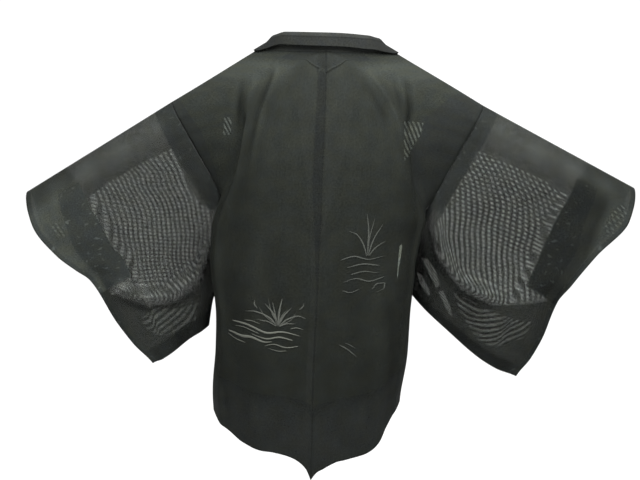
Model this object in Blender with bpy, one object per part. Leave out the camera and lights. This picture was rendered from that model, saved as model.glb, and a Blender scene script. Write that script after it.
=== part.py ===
"""A women's summer haori jacket in thin black weave, open and worn, with its sleeves held out.

Metres, +Z up. The garment faces -Y, so its back is at +Y and the wearer's left is at +X. The
origin is between the two shoulder points at the neck, where the wearer carries it.

Every piece of cloth is a wall of even thickness about a grid of points. The two body panels run
from the back hem over the shoulder to the front hem in one length, as they are cut.
"""

import math
from collections import namedtuple

import bpy
import numpy as np

# Cloth and seams
CLOTH = 0.0015
COLLAR_CLOTH = 0.0024
SEAM_GAP = 0.0004
ARMHOLE_GAP = 0.0010

# The cut of the garment
SLEEVE_DEPTH = 0.455
ARMHOLE_DEPTH = 0.215
CUFF_OPENING = 0.232
COLLAR_WIDTH = 0.064
GUSSET_FOLD_TOP = 0.006
GUSSET_FOLD_HEM = 0.024

# The room that an arm takes inside a sleeve
ARM_RADIUS = 0.038

LEFT, RIGHT = 1, -1

# One row for each cross section of half the body, from the edge at the centre to the edge at the
# side. up is the length of cloth from the hem along the centre. crest is where the cloth stands
# out furthest before it turns under the arm, and tuck is the bottom of that turn. Where arm has
# a value, the side edge lies on the armhole at that distance from the shoulder line.
Section = namedtuple(
    "Section",
    "up in_x in_y in_z blade_x blade_y crest_x crest_y tuck_x tuck_y out_x out_y out_z arm",
    defaults=(None,),
)
BACK = [
    Section(0.000, 0.000, 0.182, -0.743, 0.080, 0.160, 0.148, 0.108, 0.172, 0.058, 0.172, 0.014, -0.672),
    Section(0.130, 0.000, 0.168, -0.635, 0.085, 0.154, 0.152, 0.110, 0.177, 0.060, 0.166, 0.014, -0.590),
    Section(0.270, 0.000, 0.156, -0.520, 0.088, 0.148, 0.158, 0.104, 0.178, 0.060, 0.158, 0.014, -0.495),
    Section(0.380, 0.000, 0.147, -0.422, 0.092, 0.141, 0.168, 0.098, 0.184, 0.062, 0.148, 0.014, -0.412),
    Section(0.455, 0.000, 0.141, -0.347, 0.094, 0.135, 0.170, 0.094, 0.190, 0.062, 0.152, 0.016, -0.347),
    Section(0.484, 0.000, 0.138, -0.318, 0.094, 0.133, 0.166, 0.095, 0.180, 0.061, 0.164, 0.017, -0.318),
    Section(0.512, 0.000, 0.136, -0.290, 0.094, 0.131, 0.160, 0.097, 0.160, 0.060, 0, 0, 0, 0.237),
    Section(0.592, 0.000, 0.128, -0.212, 0.090, 0.125, 0.152, 0.101, 0.150, 0.062, 0, 0, 0, 0.168),
    Section(0.682, 0.000, 0.112, -0.128, 0.084, 0.111, 0.143, 0.093, 0.154, 0.066, 0, 0, 0, 0.104),
    Section(0.812, 0.000, 0.070, -0.010, 0.064, 0.074, 0.124, 0.066, 0.190, 0.052, 0, 0, 0, 0.056),
    Section(0.846, 0.068, 0.056, -0.010, 0.106, 0.050, 0.152, 0.045, 0.212, 0.040, 0, 0, 0, 0.028),
    Section(0.890, 0.119, 0.004, -0.006, 0.150, 0.000, 0.192, 0.000, 0.240, 0.000, 0, 0, 0, 0.000),
]
FRONT = [
    Section(0.932, 0.114, -0.036, -0.022, 0.140, -0.044, 0.172, -0.045, 0.224, -0.040, 0, 0, 0, 0.030),
    Section(0.992, 0.096, -0.074, -0.072, 0.122, -0.078, 0.152, -0.076, 0.192, -0.058, 0, 0, 0, 0.062),
    Section(1.062, 0.083, -0.100, -0.140, 0.112, -0.102, 0.146, -0.094, 0.160, -0.066, 0, 0, 0, 0.112),
    Section(1.132, 0.076, -0.114, -0.210, 0.108, -0.115, 0.146, -0.094, 0.154, -0.062, 0, 0, 0, 0.172),
    Section(1.212, 0.072, -0.122, -0.290, 0.108, -0.120, 0.146, -0.090, 0.156, -0.056, 0, 0, 0, 0.237),
    Section(1.240, 0.072, -0.124, -0.318, 0.108, -0.121, 0.144, -0.088, 0.156, -0.052, 0.160, -0.016, -0.318),
    Section(1.270, 0.071, -0.126, -0.347, 0.108, -0.122, 0.144, -0.086, 0.150, -0.050, 0.140, -0.015, -0.347),
    Section(1.345, 0.070, -0.130, -0.422, 0.108, -0.126, 0.146, -0.088, 0.153, -0.052, 0.136, -0.022, -0.412),
    Section(1.455, 0.070, -0.138, -0.525, 0.108, -0.134, 0.150, -0.094, 0.158, -0.058, 0.140, -0.030, -0.498),
    Section(1.590, 0.070, -0.147, -0.650, 0.110, -0.142, 0.152, -0.100, 0.163, -0.062, 0.146, -0.036, -0.600),
    Section(1.690, 0.070, -0.154, -0.745, 0.110, -0.148, 0.154, -0.103, 0.166, -0.064, 0.150, -0.040, -0.688),
]
NAPE_UP = 0.812
SHOULDER_UP = 0.890
FRONT_HEM_UP = 1.690
ARMHOLE_UPS = (0.512, 1.212)
GUSSET_TOP_UP = 0.500
GUSSET_TOP_FRONT_UP = 1.224

# How far the body hangs towards the wearer's left at each height, at the centre and at the sides
Sway = namedtuple("Sway", "z centre side")
SWAY = [
    Sway(-0.82, 0.030, 0.034),
    Sway(-0.66, 0.025, 0.036),
    Sway(-0.55, 0.021, 0.026),
    Sway(-0.45, 0.016, 0.027),
    Sway(-0.40, 0.014, 0.028),
    Sway(-0.35, 0.012, 0.022),
    Sway(-0.30, 0.009, 0.010),
    Sway(-0.26, 0.008, 0.006),
    Sway(-0.17, 0.004, 0.001),
    Sway(-0.04, 0.000, 0.000),
    Sway(0.10, 0.000, 0.000),
]

# The point that the hem makes on the seam at the centre of the back
HEM_POINT_DROP = 0.033
HEM_POINT_WIDTH = 0.055
HEM_POINT_FADE = 0.30

# The hem stays level across the middle and rises at the sides, more on the right
HEM_BEND = 2.2
HEM_SIDE_LIFT = {LEFT: 0.000, RIGHT: 0.016}

# The neck sits a little lower on the right
NECK_TILT = 0.036

# Long soft folds of the body: where each lies across the half panel, its width, its height at
# the hem and at the yoke, and the side that it is on
Fold = namedtuple("Fold", "side across width hem_height yoke_height")
BODY_FOLDS = [
    Fold(LEFT, 0.30, 0.070, 0.007, 0.002),
    Fold(LEFT, 0.46, 0.060, -0.006, -0.005),
    Fold(LEFT, 0.56, 0.045, 0.005, 0.006),
    Fold(RIGHT, 0.24, 0.070, -0.005, -0.002),
    Fold(RIGHT, 0.42, 0.060, 0.007, 0.004),
    Fold(RIGHT, 0.55, 0.045, -0.005, -0.005),
]

# The middle line of each sleeve's edges, by the distance down from the folded top: the edge at
# the body, which is sewn between its first two rows and hangs free below, and the edge at the hand
Edge = namedtuple("Edge", "down x y z")
INNER_EDGE = {
    LEFT: [
        Edge(0.000, 0.284, 0.000, -0.103),
        Edge(0.215, 0.185, 0.000, -0.288),
        Edge(0.250, 0.192, -0.006, -0.320),
        Edge(0.300, 0.200, -0.018, -0.368),
        Edge(0.380, 0.208, -0.030, -0.446),
        Edge(0.455, 0.216, -0.034, -0.519),
    ],
    RIGHT: [
        Edge(0.000, 0.290, 0.000, -0.110),
        Edge(0.215, 0.190, 0.000, -0.294),
        Edge(0.250, 0.172, -0.010, -0.322),
        Edge(0.300, 0.153, -0.018, -0.362),
        Edge(0.380, 0.150, -0.034, -0.418),
        Edge(0.455, 0.156, -0.044, -0.470),
    ],
}
HAND_EDGE = {
    LEFT: [
        Edge(0.000, 0.556, 0.000, -0.266),
        Edge(0.070, 0.545, 0.000, -0.332),
        Edge(0.150, 0.500, 0.000, -0.386),
        Edge(0.232, 0.442, 0.000, -0.436),
        Edge(0.455, 0.325, 0.010, -0.588),
    ],
    RIGHT: [
        Edge(0.000, 0.572, 0.000, -0.262),
        Edge(0.070, 0.563, 0.000, -0.328),
        Edge(0.150, 0.505, 0.000, -0.396),
        Edge(0.232, 0.436, 0.000, -0.476),
        Edge(0.340, 0.400, 0.006, -0.545),
        Edge(0.455, 0.358, 0.010, -0.618),
    ],
}
BOTTOM_SAG = {LEFT: 0.002, RIGHT: 0.020}
CORNER_ROUNDING = 0.006

# Half the distance between a sleeve's two walls, by the distance down from its folded top
Fullness = namedtuple("Fullness", "down half")
SLEEVE_FULLNESS = [
    Fullness(0.030, 0.038),
    Fullness(0.070, 0.036),
    Fullness(0.140, 0.027),
    Fullness(0.220, 0.019),
    Fullness(0.330, 0.014),
    Fullness(0.440, 0.011),
]
SEWN_HALF = 0.0045
GATHER = {LEFT: 0.016, RIGHT: 0.022}
SAG_ROWS = (-0.040, -0.014, 0.003, 0.018, 0.040)

# The collar's cross section along half its length, by the length of the body panel beside it.
# stand_in and stand_up give the direction in which it leaves the seam, towards the middle and
# upwards, and turn is the angle through which it folds back over itself.
Roll = namedtuple("Roll", "up stand_in stand_up turn")
COLLAR_ROLL = [
    Roll(0.812, 0.16, 1.00, 170),
    Roll(0.846, 0.40, 1.00, 172),
    Roll(0.890, 1.00, 0.70, 178),
    Roll(0.932, 1.00, 0.60, 170),
    Roll(0.992, 1.00, 0.45, 150),
    Roll(1.062, 1.00, 0.18, 124),
    Roll(1.132, 1.00, 0.04, 98),
    Roll(1.212, 1.00, 0.00, 66),
    Roll(1.300, 1.00, 0.00, 32),
    Roll(1.420, 1.00, 0.00, 8),
    Roll(1.690, 1.00, 0.00, 0),
]
COLLAR_FOLD_START = 0.026
COLLAR_FOLD_LENGTH = 0.011

# The pointed facing inside the nape
FACING_DROP = 0.044
FACING_REACH = 0.30
FACING_GAP = 0.0010

# Grid sizes
SPAN_COLUMNS = (4, 3, 3, 3)
Stretch = namedtuple("Stretch", "start rows")
BODY_STRETCHES = [
    Stretch(0.0, 10),
    Stretch(0.512, 5),
    Stretch(0.682, 7),
    Stretch(NAPE_UP, 6),
    Stretch(SHOULDER_UP, 7),
    Stretch(1.062, 4),
    Stretch(1.212, 9),
]
COLLAR_STEPS = (0, 0.014, 0.026, 0.029, 0.031, 0.033, 0.035, 0.038, 0.051, 0.064)
SLEEVE_STATIONS = 15
SLEEVE_TOP_ROWS, SLEEVE_UPPER_ROWS, SLEEVE_LOWER_ROWS = 3, 6, 5
GUSSET_ROWS, GUSSET_COLUMNS = 16, 4
FACING_ROWS, FACING_COLUMNS = 6, 6


def smooth(knots, values, at):
    """A smooth curve through table rows that never swings past them (monotone cubic)."""
    knots = np.asarray(knots, float)
    values = np.asarray(values, float)
    at = np.atleast_1d(np.asarray(at, float))
    flat = values.reshape(len(knots), -1)
    step = np.diff(knots)[:, None]
    rise = np.diff(flat, axis=0) / step
    slope = np.zeros_like(flat)
    before, after = rise[:-1], rise[1:]
    same_way = before * after > 0
    weight_1 = 2 * step[1:] + step[:-1]
    weight_2 = step[1:] + 2 * step[:-1]
    safe_before = np.where(same_way, before, 1.0)
    safe_after = np.where(same_way, after, 1.0)
    mean = (weight_1 + weight_2) / (weight_1 / safe_before + weight_2 / safe_after)
    slope[1:-1] = np.where(same_way, mean, 0.0)
    slope[0], slope[-1] = rise[0], rise[-1]
    at = np.clip(at, knots[0], knots[-1])
    cell = np.clip(np.searchsorted(knots, at, side="right") - 1, 0, len(knots) - 2)
    width = step[cell]
    t = ((at - knots[cell]) / width[:, 0])[:, None]
    h00 = (1 + 2 * t) * (1 - t) ** 2
    h10 = t * (1 - t) ** 2
    h01 = t * t * (3 - 2 * t)
    h11 = t * t * (t - 1)
    start = h00 * flat[cell] + h10 * width * slope[cell]
    end = h01 * flat[cell + 1] + h11 * width * slope[cell + 1]
    return (start + end).reshape((len(at),) + values.shape[1:])


def ease(x):
    """0 below 0, 1 above 1, and a soft step between."""
    x = np.clip(x, 0.0, 1.0)
    return x * x * (3 - 2 * x)


def bell(x, middle, width):
    """A soft bump of height 1."""
    return np.exp(-(((x - middle) / width) ** 2))


def unit(v):
    """Vectors scaled to length 1."""
    return v / np.maximum(np.linalg.norm(v, axis=-1, keepdims=True), 1e-12)


# The armhole and the sleeves


def arm_round(distance):
    """How far down and how far back the cloth lies at a distance from the folded top."""
    quarter = ARM_RADIUS * math.pi / 2
    angle = np.minimum(distance, quarter) / ARM_RADIUS
    down = ARM_RADIUS * (1 - np.cos(angle)) + np.maximum(distance - quarter, 0.0)
    back = ARM_RADIUS * np.sin(angle)
    return down, back


def half_fullness(down):
    """Half the space between a sleeve's walls at a distance down."""
    rows = SLEEVE_FULLNESS
    return smooth([r.down for r in rows], [r.half for r in rows], down)


def edge_line(rows, side, down):
    """Points of one of a sleeve's edges at each distance down."""
    down = np.asarray(down, float)
    points = smooth([r.down for r in rows], [(side * r.x, r.y, r.z) for r in rows], down.ravel())
    return points.reshape(down.shape + (3,))


def inner_line(side, down):
    """Points of a sleeve's edge at the body: straight along the armhole and then free."""
    down = np.asarray(down, float)
    top, under = (np.array([side * r.x, r.y, r.z]) for r in INNER_EDGE[side][:2])
    share = (down / ARMHOLE_DEPTH)[..., None]
    sewn = top + (under - top) * share
    return np.where(share <= 1, sewn, edge_line(INNER_EDGE[side][1:], side, down))


def armhole_plane(side):
    """The direction across the armhole, away from the body."""
    top, under = INNER_EDGE[side][:2]
    return unit(np.array([side * (top.z - under.z), 0.0, under.x - top.x]))


def armhole(side, distance, facing):
    """A point of the seam between body and sleeve. facing is 1 on the back and -1 on the front."""
    down, back = arm_round(np.asarray(distance, float))
    points = inner_line(side, down)
    half = np.minimum(back, half_fullness(down.ravel()).reshape(down.shape))
    points[..., 1] += facing * half
    return points


def within_plane(normals, across):
    """These directions with the part along one direction taken out."""
    return unit(normals - across * np.sum(normals * across, axis=-1, keepdims=True))


# The body


def neck_line(side, up):
    """Points of the neck opening's edge, which crosses the nape level and without a corner."""
    rows = [r for r in BACK + FRONT if r.up >= NAPE_UP]
    opposite = rows[1]
    knots = [2 * NAPE_UP - opposite.up] + [r.up for r in rows]
    points = [(-side * opposite.in_x, opposite.in_y, opposite.in_z)]
    points += [(side * r.in_x, r.in_y, r.in_z) for r in rows]
    return smooth(knots, points, up)


def body_controls(side, up):
    """The five control points of the half sections at each up, as an array of rows by 5 by 3."""
    knots, table, hanging = [], [], []
    for r in BACK + FRONT:
        facing = 1 if r.up < SHOULDER_UP else -1
        if r.arm is None:
            out = np.array([side * r.out_x, r.out_y, r.out_z])
        else:
            out = armhole(side, np.array(r.arm), facing)
        xs = np.array([r.in_x, r.blade_x, r.crest_x, r.tuck_x])
        ys = np.array([r.in_y, r.blade_y, r.crest_y, r.tuck_y])
        share = np.clip((xs - r.in_x) / max(abs(out[0]) - r.in_x, 0.02), 0.0, 1.0)
        bend = HEM_BEND if r.arm is None else 1.0
        zs = r.in_z + (out[2] - r.in_z) * share**bend
        points = np.concatenate([np.stack([side * xs, ys, zs], axis=1), out[None]])
        if r.arm is None:
            near_hem = ease((-0.35 - points[:, 2]) / 0.35)
            points[:, 2] += HEM_SIDE_LIFT[side] * near_hem * np.append(share, 1.0) ** HEM_BEND
        knots.append(r.up)
        table.append(points)
        hanging.append([1.0, 1.0, 1.0, 1.0, 1.0 if r.arm is None else 0.0])
    points = smooth(knots, table, up)
    points[up > NAPE_UP, 0] = neck_line(side, up[up > NAPE_UP])
    outward = ease(np.abs(points[..., 0]) / 0.15)
    heights = points[..., 2].ravel()
    at_centre = smooth([w.z for w in SWAY], [w.centre for w in SWAY], heights).reshape(outward.shape)
    at_side = smooth([w.z for w in SWAY], [w.side for w in SWAY], heights).reshape(outward.shape)
    points[..., 0] += (at_centre * (1 - outward) + at_side * outward) * smooth(knots, hanging, up)
    near_neck = np.exp(-(((np.asarray(up)[:, None] - SHOULDER_UP) / 0.10) ** 2))
    towards_neck = 1 - ease(np.abs(points[:, :4, 0]) / 0.25)
    points[:, :4, 2] += NECK_TILT * near_neck * points[:, :4, 0] * towards_neck
    return points


def body_surface(side, across, up):
    """Points of a half body. across runs from 0 at the centre to 4 at the side edge, one for
    each span between control points, and up from the back hem over the shoulder to the front."""
    p = body_controls(side, up)
    on_back = np.asarray(up) <= NAPE_UP + 1e-9
    mirrored = p[:, 1].copy()
    mirrored[:, 0] = 2 * p[:, 0, 0] - mirrored[:, 0]
    straight_on = 2 * p[:, 0] - p[:, 1]
    before = np.where(on_back[:, None], mirrored, straight_on)
    after = 2 * p[:, 4] - p[:, 3]
    p = np.concatenate([before[:, None], p, after[:, None]], axis=1)
    cell = np.clip(np.floor(across).astype(int), 0, 3)
    t = (across - cell)[None, :, None]
    a, b, c, d = (p[:, cell + k] for k in range(4))
    surface = 0.5 * (
        2 * b + (c - a) * t + (2 * a - 5 * b + 4 * c - d) * t**2 + (3 * b - a - 3 * c + d) * t**3
    )
    surface = surface + body_fold_shift(side, across, up)
    fade = np.maximum(1 - np.asarray(up) / HEM_POINT_FADE, 0.0) ** 1.5
    surface[..., 2] -= HEM_POINT_DROP * fade[:, None] * np.exp(-across / 4 / HEM_POINT_WIDTH)[None]
    return surface


def body_fold_shift(side, across, up):
    """How far the long folds move the cloth outwards from the body's axis."""
    share = across[None, :] / 4
    height = np.asarray(up)[:, None]
    lift = np.zeros((len(up), len(across)))
    on_back = 1 - ease((height - 0.60) / 0.18)
    on_front = ease((height - 1.06) / 0.14)
    from_hem_back = np.clip(height / 0.68, 0, 1)
    from_hem_front = np.clip((FRONT_HEM_UP - height) / 0.68, 0, 1)
    for f in BODY_FOLDS:
        if f.side != side:
            continue
        shape = bell(share, f.across, f.width) * ease((0.74 - share) / 0.12)
        back = f.hem_height + (f.yoke_height - f.hem_height) * from_hem_back
        front = f.yoke_height + (f.hem_height - f.yoke_height) * (1 - from_hem_front)
        lift += shape * (back * on_back + front * on_front)
    outwards = np.where(height < SHOULDER_UP, 1.0, -1.0)
    return np.stack([0 * lift, lift * outwards, 0 * lift], axis=-1)


def span_parameters():
    """The values of across for the grid's columns, a few to each span."""
    values = [0.0]
    for span, count in enumerate(SPAN_COLUMNS):
        values += [span + (k + 1) / count for k in range(count)]
    return np.array(values)


def body_rows():
    """The values of up for the grid's rows, with one row on the nape and one on the shoulder."""
    ends = [s.start for s in BODY_STRETCHES] + [FRONT_HEM_UP]
    counts = [s.rows for s in BODY_STRETCHES]
    rows = [np.linspace(a, b, n + 1)[:-1] for a, b, n in zip(ends, ends[1:], counts)]
    return np.concatenate(rows + [[FRONT_HEM_UP]])


def grid_faces(rows, columns):
    """Quads of a grid of points numbered row by row."""
    corners = [i * columns + j for i in range(rows - 1) for j in range(columns - 1)]
    return [(a, a + 1, a + columns + 1, a + columns) for a in corners]


def material(name, colour, roughness):
    """A plain cloth finish."""
    made = bpy.data.materials.new(name)
    made.use_nodes = True
    shader = made.node_tree.nodes["Principled BSDF"]
    shader.inputs["Base Color"].default_value = (*colour, 1.0)
    shader.inputs["Roughness"].default_value = roughness
    shader.inputs["Metallic"].default_value = 0.0
    return made


def normals_of(grid):
    """The direction across the wall at each point of a grid."""
    return unit(np.cross(np.gradient(grid, axis=1), np.gradient(grid, axis=0)))


def wall(name, middle, faces, normals, thickness, finish):
    """One piece of cloth: a wall of even thickness about the faces through its middle."""
    middle, normals = middle.reshape(-1, 3), normals.reshape(-1, 3)
    total = len(middle)
    edges = {(a, b) for face in faces for a, b in zip(face, face[1:] + face[:1])}
    rim = [(b, a, a + total, b + total) for a, b in sorted(edges) if (b, a) not in edges]
    back = [tuple(k + total for k in face[::-1]) for face in faces]
    half = normals * thickness / 2
    mesh = bpy.data.meshes.new(name)
    points = np.concatenate([middle + half, middle - half])
    mesh.from_pydata(points.tolist(), [], faces + back + rim)
    mesh.update()
    mesh.shade_smooth()
    mesh.materials.append(finish)
    piece = bpy.data.objects.new(name, mesh)
    bpy.context.scene.collection.objects.link(piece)
    return piece


def grid_wall(name, middle, normals, thickness, finish):
    """A wall about a grid of middle points."""
    return wall(name, middle, grid_faces(*middle.shape[:2]), normals, thickness, finish)


def body_panel(side, name, finish):
    """One length of cloth from the back hem over the shoulder to the front hem."""
    across, up = span_parameters(), body_rows()
    points = body_surface(side, across, up)
    normals = normals_of(points)
    on_seam = up <= NAPE_UP + 1e-9
    points[on_seam, 0, 0] += side * SEAM_GAP / 2
    normals[on_seam, 0, 0] = 0.0
    at_armhole = (up > ARMHOLE_UPS[0] - 1e-9) & (up < ARMHOLE_UPS[1] + 1e-9)
    away = armhole_plane(side)
    points[at_armhole, -1] -= away * ARMHOLE_GAP / 2
    normals[at_armhole, -1] = within_plane(normals[at_armhole, -1], away)
    return grid_wall(name, points, unit(normals), CLOTH, finish)


def sag_line(along):
    """Where the cloth hanging from the arm turns over on itself, as a distance down."""
    return 0.272 + 0.045 * np.sin(math.pi * np.clip(along * 1.05, 0, 1)) - 0.020 * along


def sleeve_middle(side, along, down):
    """The middle surface of a sleeve: along runs from 0 at the armhole to 1 at the hand, and
    down from 0 at the folded top to SLEEVE_DEPTH at the bottom."""
    inner = inner_line(side, down)
    hand = edge_line(HAND_EDGE[side], side, down)
    share = along[..., None]
    middle = inner * (1 - share) + hand * share
    low = ease((down / SLEEVE_DEPTH - 0.5) / 0.5)
    middle[..., 2] -= BOTTOM_SAG[side] * 4 * along * (1 - along) * low
    corner = ease((along - 0.80) / 0.20) * ease((down / SLEEVE_DEPTH - 0.86) / 0.14)
    middle[..., 0] -= side * CORNER_ROUNDING * 0.35 * corner
    middle[..., 2] += CORNER_ROUNDING * corner
    return middle


def sleeve_wall(side, along, distance, facing):
    """Points of one wall of a sleeve at a distance over the cloth from its folded top."""
    down, back = arm_round(distance)
    points = sleeve_middle(side, along, down)
    half = np.minimum(back, half_fullness(down.ravel()).reshape(down.shape))
    sewn_hand = ease((along - 0.80) / 0.20) * ease((down - CUFF_OPENING + 0.035) / 0.035)
    sewn_bottom = ease((down - SLEEVE_DEPTH + 0.045) / 0.045)
    sewn = np.maximum(sewn_hand, sewn_bottom)
    half = half * (1 - sewn) + SEWN_HALF * sewn
    low = ease((down - 0.20) / (SLEEVE_DEPTH - 0.20))
    gather = GATHER[side] * low * (1 - along) ** 0.8 * np.sin(2 * math.pi * (1.65 * along + 0.10))
    window = ease(along / 0.18) * ease((0.98 - along) / 0.22)
    past = down - sag_line(along)
    sag = window * (0.013 * bell(past, -0.014, 0.020) - 0.007 * bell(past, 0.016, 0.016))
    loose = 0.0035 * np.sin(7.0 * along + 9.0 * down + side) * ease(down / 0.12)
    points[..., 1] += gather + loose * (1 - sewn) + facing * (half + sag * (1 - sewn))
    return points


def sleeve_lengths(along):
    """The distances over the cloth of each station's rows. They follow the turn in the cloth."""
    extra = ARM_RADIUS * (math.pi / 2 - 1)
    quarter = ARM_RADIUS * math.pi / 2
    turn = sag_line(along)[:, None] + extra
    over = np.linspace(0.0, quarter, SLEEVE_TOP_ROWS + 1)[None] + 0 * turn
    first, last = quarter, turn + SAG_ROWS[0]
    upper = first + (last - first) * np.linspace(0, 1, SLEEVE_UPPER_ROWS + 1)[None, 1:-1]
    fold = turn + np.array(SAG_ROWS)[None]
    first, last = turn + SAG_ROWS[-1], SLEEVE_DEPTH + extra
    lower = first + (last - first) * np.linspace(0, 1, SLEEVE_LOWER_ROWS + 1)[None, 1:]
    return np.concatenate([over, upper, fold, lower], axis=1)


def sleeve(side, name, finish):
    """One sleeve: a bag folded at the top, sewn along the bottom and up to the hand opening,
    and open along its whole inner edge."""
    along = np.linspace(0.0, 1.0, SLEEVE_STATIONS)
    lengths = sleeve_lengths(along)
    stations = np.repeat(along[:, None], lengths.shape[1], axis=1)
    back = sleeve_wall(side, stations, lengths, 1)
    front = sleeve_wall(side, stations, lengths, -1)
    ring = np.concatenate([back[:, ::-1], front[:, 1:]], axis=1)
    away = armhole_plane(side)
    ring[0] += away * ARMHOLE_GAP / 2
    around = np.concatenate([ring[:, -1:], ring, ring[:, :1]], axis=1)
    normals = normals_of(around)[:, 1:-1]
    normals[0] = within_plane(normals[0], away)
    count = ring.shape[1]
    faces = []
    for i in range(len(along) - 1):
        pairs = [(i * count + j, i * count + (j + 1) % count) for j in range(count)]
        faces += [(a, b, b + count, a + count) for a, b in pairs]
    last = lengths.shape[1] - 1
    down = arm_round(lengths[-1])[0]
    behind = (len(along) - 1) * count + last
    faces += [
        (behind + k, behind + k + 1, behind - k - 1, behind - k)
        for k in range(last)
        if down[k] >= CUFF_OPENING
    ]
    if side == RIGHT:
        faces = [face[::-1] for face in faces]
        normals = -normals
    return wall(name, ring, faces, normals, CLOTH, finish)


def gusset(side, name, finish):
    """The long triangular piece between back and front under the arm, folded inwards."""
    share = np.linspace(0.0, 1.0, GUSSET_ROWS)
    back_up = share * GUSSET_TOP_UP
    front_up = FRONT_HEM_UP - share * (FRONT_HEM_UP - GUSSET_TOP_FRONT_UP)
    edges = []
    for up in (back_up, front_up):
        strip = body_surface(side, np.array([3.90, 4.0]), up)
        edges.append(strip[:, 1] + unit(strip[:, 1] - strip[:, 0]) * (SEAM_GAP + CLOTH / 2))
    across = np.linspace(0.0, 1.0, GUSSET_COLUMNS + 1)
    rows = edges[0][:, None] * (1 - across)[:, None] + edges[1][:, None] * across[:, None]
    fold_depth = GUSSET_FOLD_TOP + (GUSSET_FOLD_HEM - GUSSET_FOLD_TOP) * (1 - share)
    rows[..., 0] -= side * fold_depth[:, None] * np.sin(math.pi * across)
    return grid_wall(name, rows, normals_of(rows), CLOTH, finish)


def collar_half(side):
    """Rows of points of half the collar, from the nape to the front hem."""
    up = body_rows()
    up = up[up >= NAPE_UP - 1e-9]
    edge = body_surface(side, np.array([0.0, 0.3]), up)
    base = edge[:, 0]
    along = unit(np.gradient(base, axis=0))
    along[0] = np.array([side, 0.0, 0.0])
    to_neck = unit(np.stack([-base[:, 0], -base[:, 1] - 0.02, 0 * up], axis=1))
    flat = unit(edge[:, 0] - edge[:, 1])
    on_front = ease((up - 0.96) / 0.12)[:, None]
    inwards = unit(to_neck * (1 - on_front) + flat * on_front)
    rows = [[r.stand_in, r.stand_up, math.radians(r.turn)] for r in COLLAR_ROLL]
    lean = smooth([r.up for r in COLLAR_ROLL], rows, up)
    stand = inwards * lean[:, :1] + np.array([0.0, 0.0, 1.0]) * lean[:, 1:2]
    stand = unit(stand - along * np.sum(stand * along, axis=1, keepdims=True))
    turned = np.cross(along, stand)
    outside = base * np.array([1.0, 1.0, 0.0])
    turned *= np.sign(np.sum(turned * outside, axis=1, keepdims=True))
    fine = np.linspace(0.0, COLLAR_WIDTH, 257)
    angle = lean[:, 2:3] * ease((fine - COLLAR_FOLD_START) / COLLAR_FOLD_LENGTH)[None]
    direction = stand[:, None] * np.cos(angle)[..., None] + turned[:, None] * np.sin(angle)[..., None]
    middle = (direction[:, 1:] + direction[:, :-1]) / 2 * (fine[1] - fine[0])
    profile = np.concatenate([np.zeros_like(middle[:, :1]), np.cumsum(middle, axis=1)], axis=1)
    picked = np.round(np.array(COLLAR_STEPS) / (fine[1] - fine[0])).astype(int)
    gap = SEAM_GAP + COLLAR_CLOTH / 2 * np.clip(lean[:, 1:2], 0, 1)
    start = base + stand * gap
    return start[:, None] + profile[:, picked]


def collar(name, finish):
    """The collar: one long band round the neck and down both fronts, turned back at the nape."""
    left, right = collar_half(LEFT), collar_half(RIGHT)
    rows = np.concatenate([left[::-1], right[1:]])
    return grid_wall(name, rows, normals_of(rows), COLLAR_CLOTH, finish)


def panel_point(side, across, up):
    """A point on the flat facets of a body panel's middle surface."""
    columns, rows = span_parameters(), body_rows()
    grid = body_surface(side, columns, rows)
    i = int(np.clip(np.searchsorted(rows, up, side="right") - 1, 0, len(rows) - 2))
    j = int(np.clip(np.searchsorted(columns, across, side="right") - 1, 0, len(columns) - 2))
    v = (up - rows[i]) / (rows[i + 1] - rows[i])
    u = (across - columns[j]) / (columns[j + 1] - columns[j])
    low = grid[i, j] * (1 - u) + grid[i, j + 1] * u
    high = grid[i + 1, j] * (1 - u) + grid[i + 1, j + 1] * u
    return low * (1 - v) + high * v


def facing(name, finish):
    """The pointed facing inside the nape, lying on the inner face of both back panels."""
    drop = np.linspace(0.0, 1.0, FACING_ROWS)
    up = NAPE_UP - 0.004 - drop * FACING_DROP
    halves = []
    for side in (LEFT, RIGHT):
        rows = []
        for share, height in zip(drop, up):
            across = np.linspace(0.0, FACING_REACH * 4 * (1 - 0.96 * share), FACING_COLUMNS + 1)
            rows.append([panel_point(side, a, height) for a in across])
        halves.append(np.array(rows))
    left, right = halves
    grid = np.concatenate([right[:, ::-1], left[:, 1:]], axis=1)
    outward = normals_of(grid)
    outward = np.where(outward[..., 1:2] < 0, -outward, outward)
    grid = grid - outward * (CLOTH + FACING_GAP)
    return grid_wall(name, grid, normals_of(grid), CLOTH, finish)


def clear_scene():
    """Removes the objects of the startup scene."""
    for item in list(bpy.data.objects):
        bpy.data.objects.remove(item)


def main():
    """Builds every piece of the garment."""
    clear_scene()
    body_cloth = material("body_cloth", (0.030, 0.031, 0.028), 0.80)
    sleeve_cloth = material("sleeve_cloth", (0.040, 0.042, 0.038), 0.80)
    collar_cloth = material("collar_cloth", (0.025, 0.026, 0.025), 0.75)
    body_panel(LEFT, "body_panel_left", body_cloth)
    body_panel(RIGHT, "body_panel_right", body_cloth)
    sleeve(LEFT, "sleeve_left", sleeve_cloth)
    sleeve(RIGHT, "sleeve_right", sleeve_cloth)
    gusset(LEFT, "side_gusset_left", body_cloth)
    gusset(RIGHT, "side_gusset_right", body_cloth)
    collar("collar", collar_cloth)
    facing("nape_facing", collar_cloth)


main()
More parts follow.
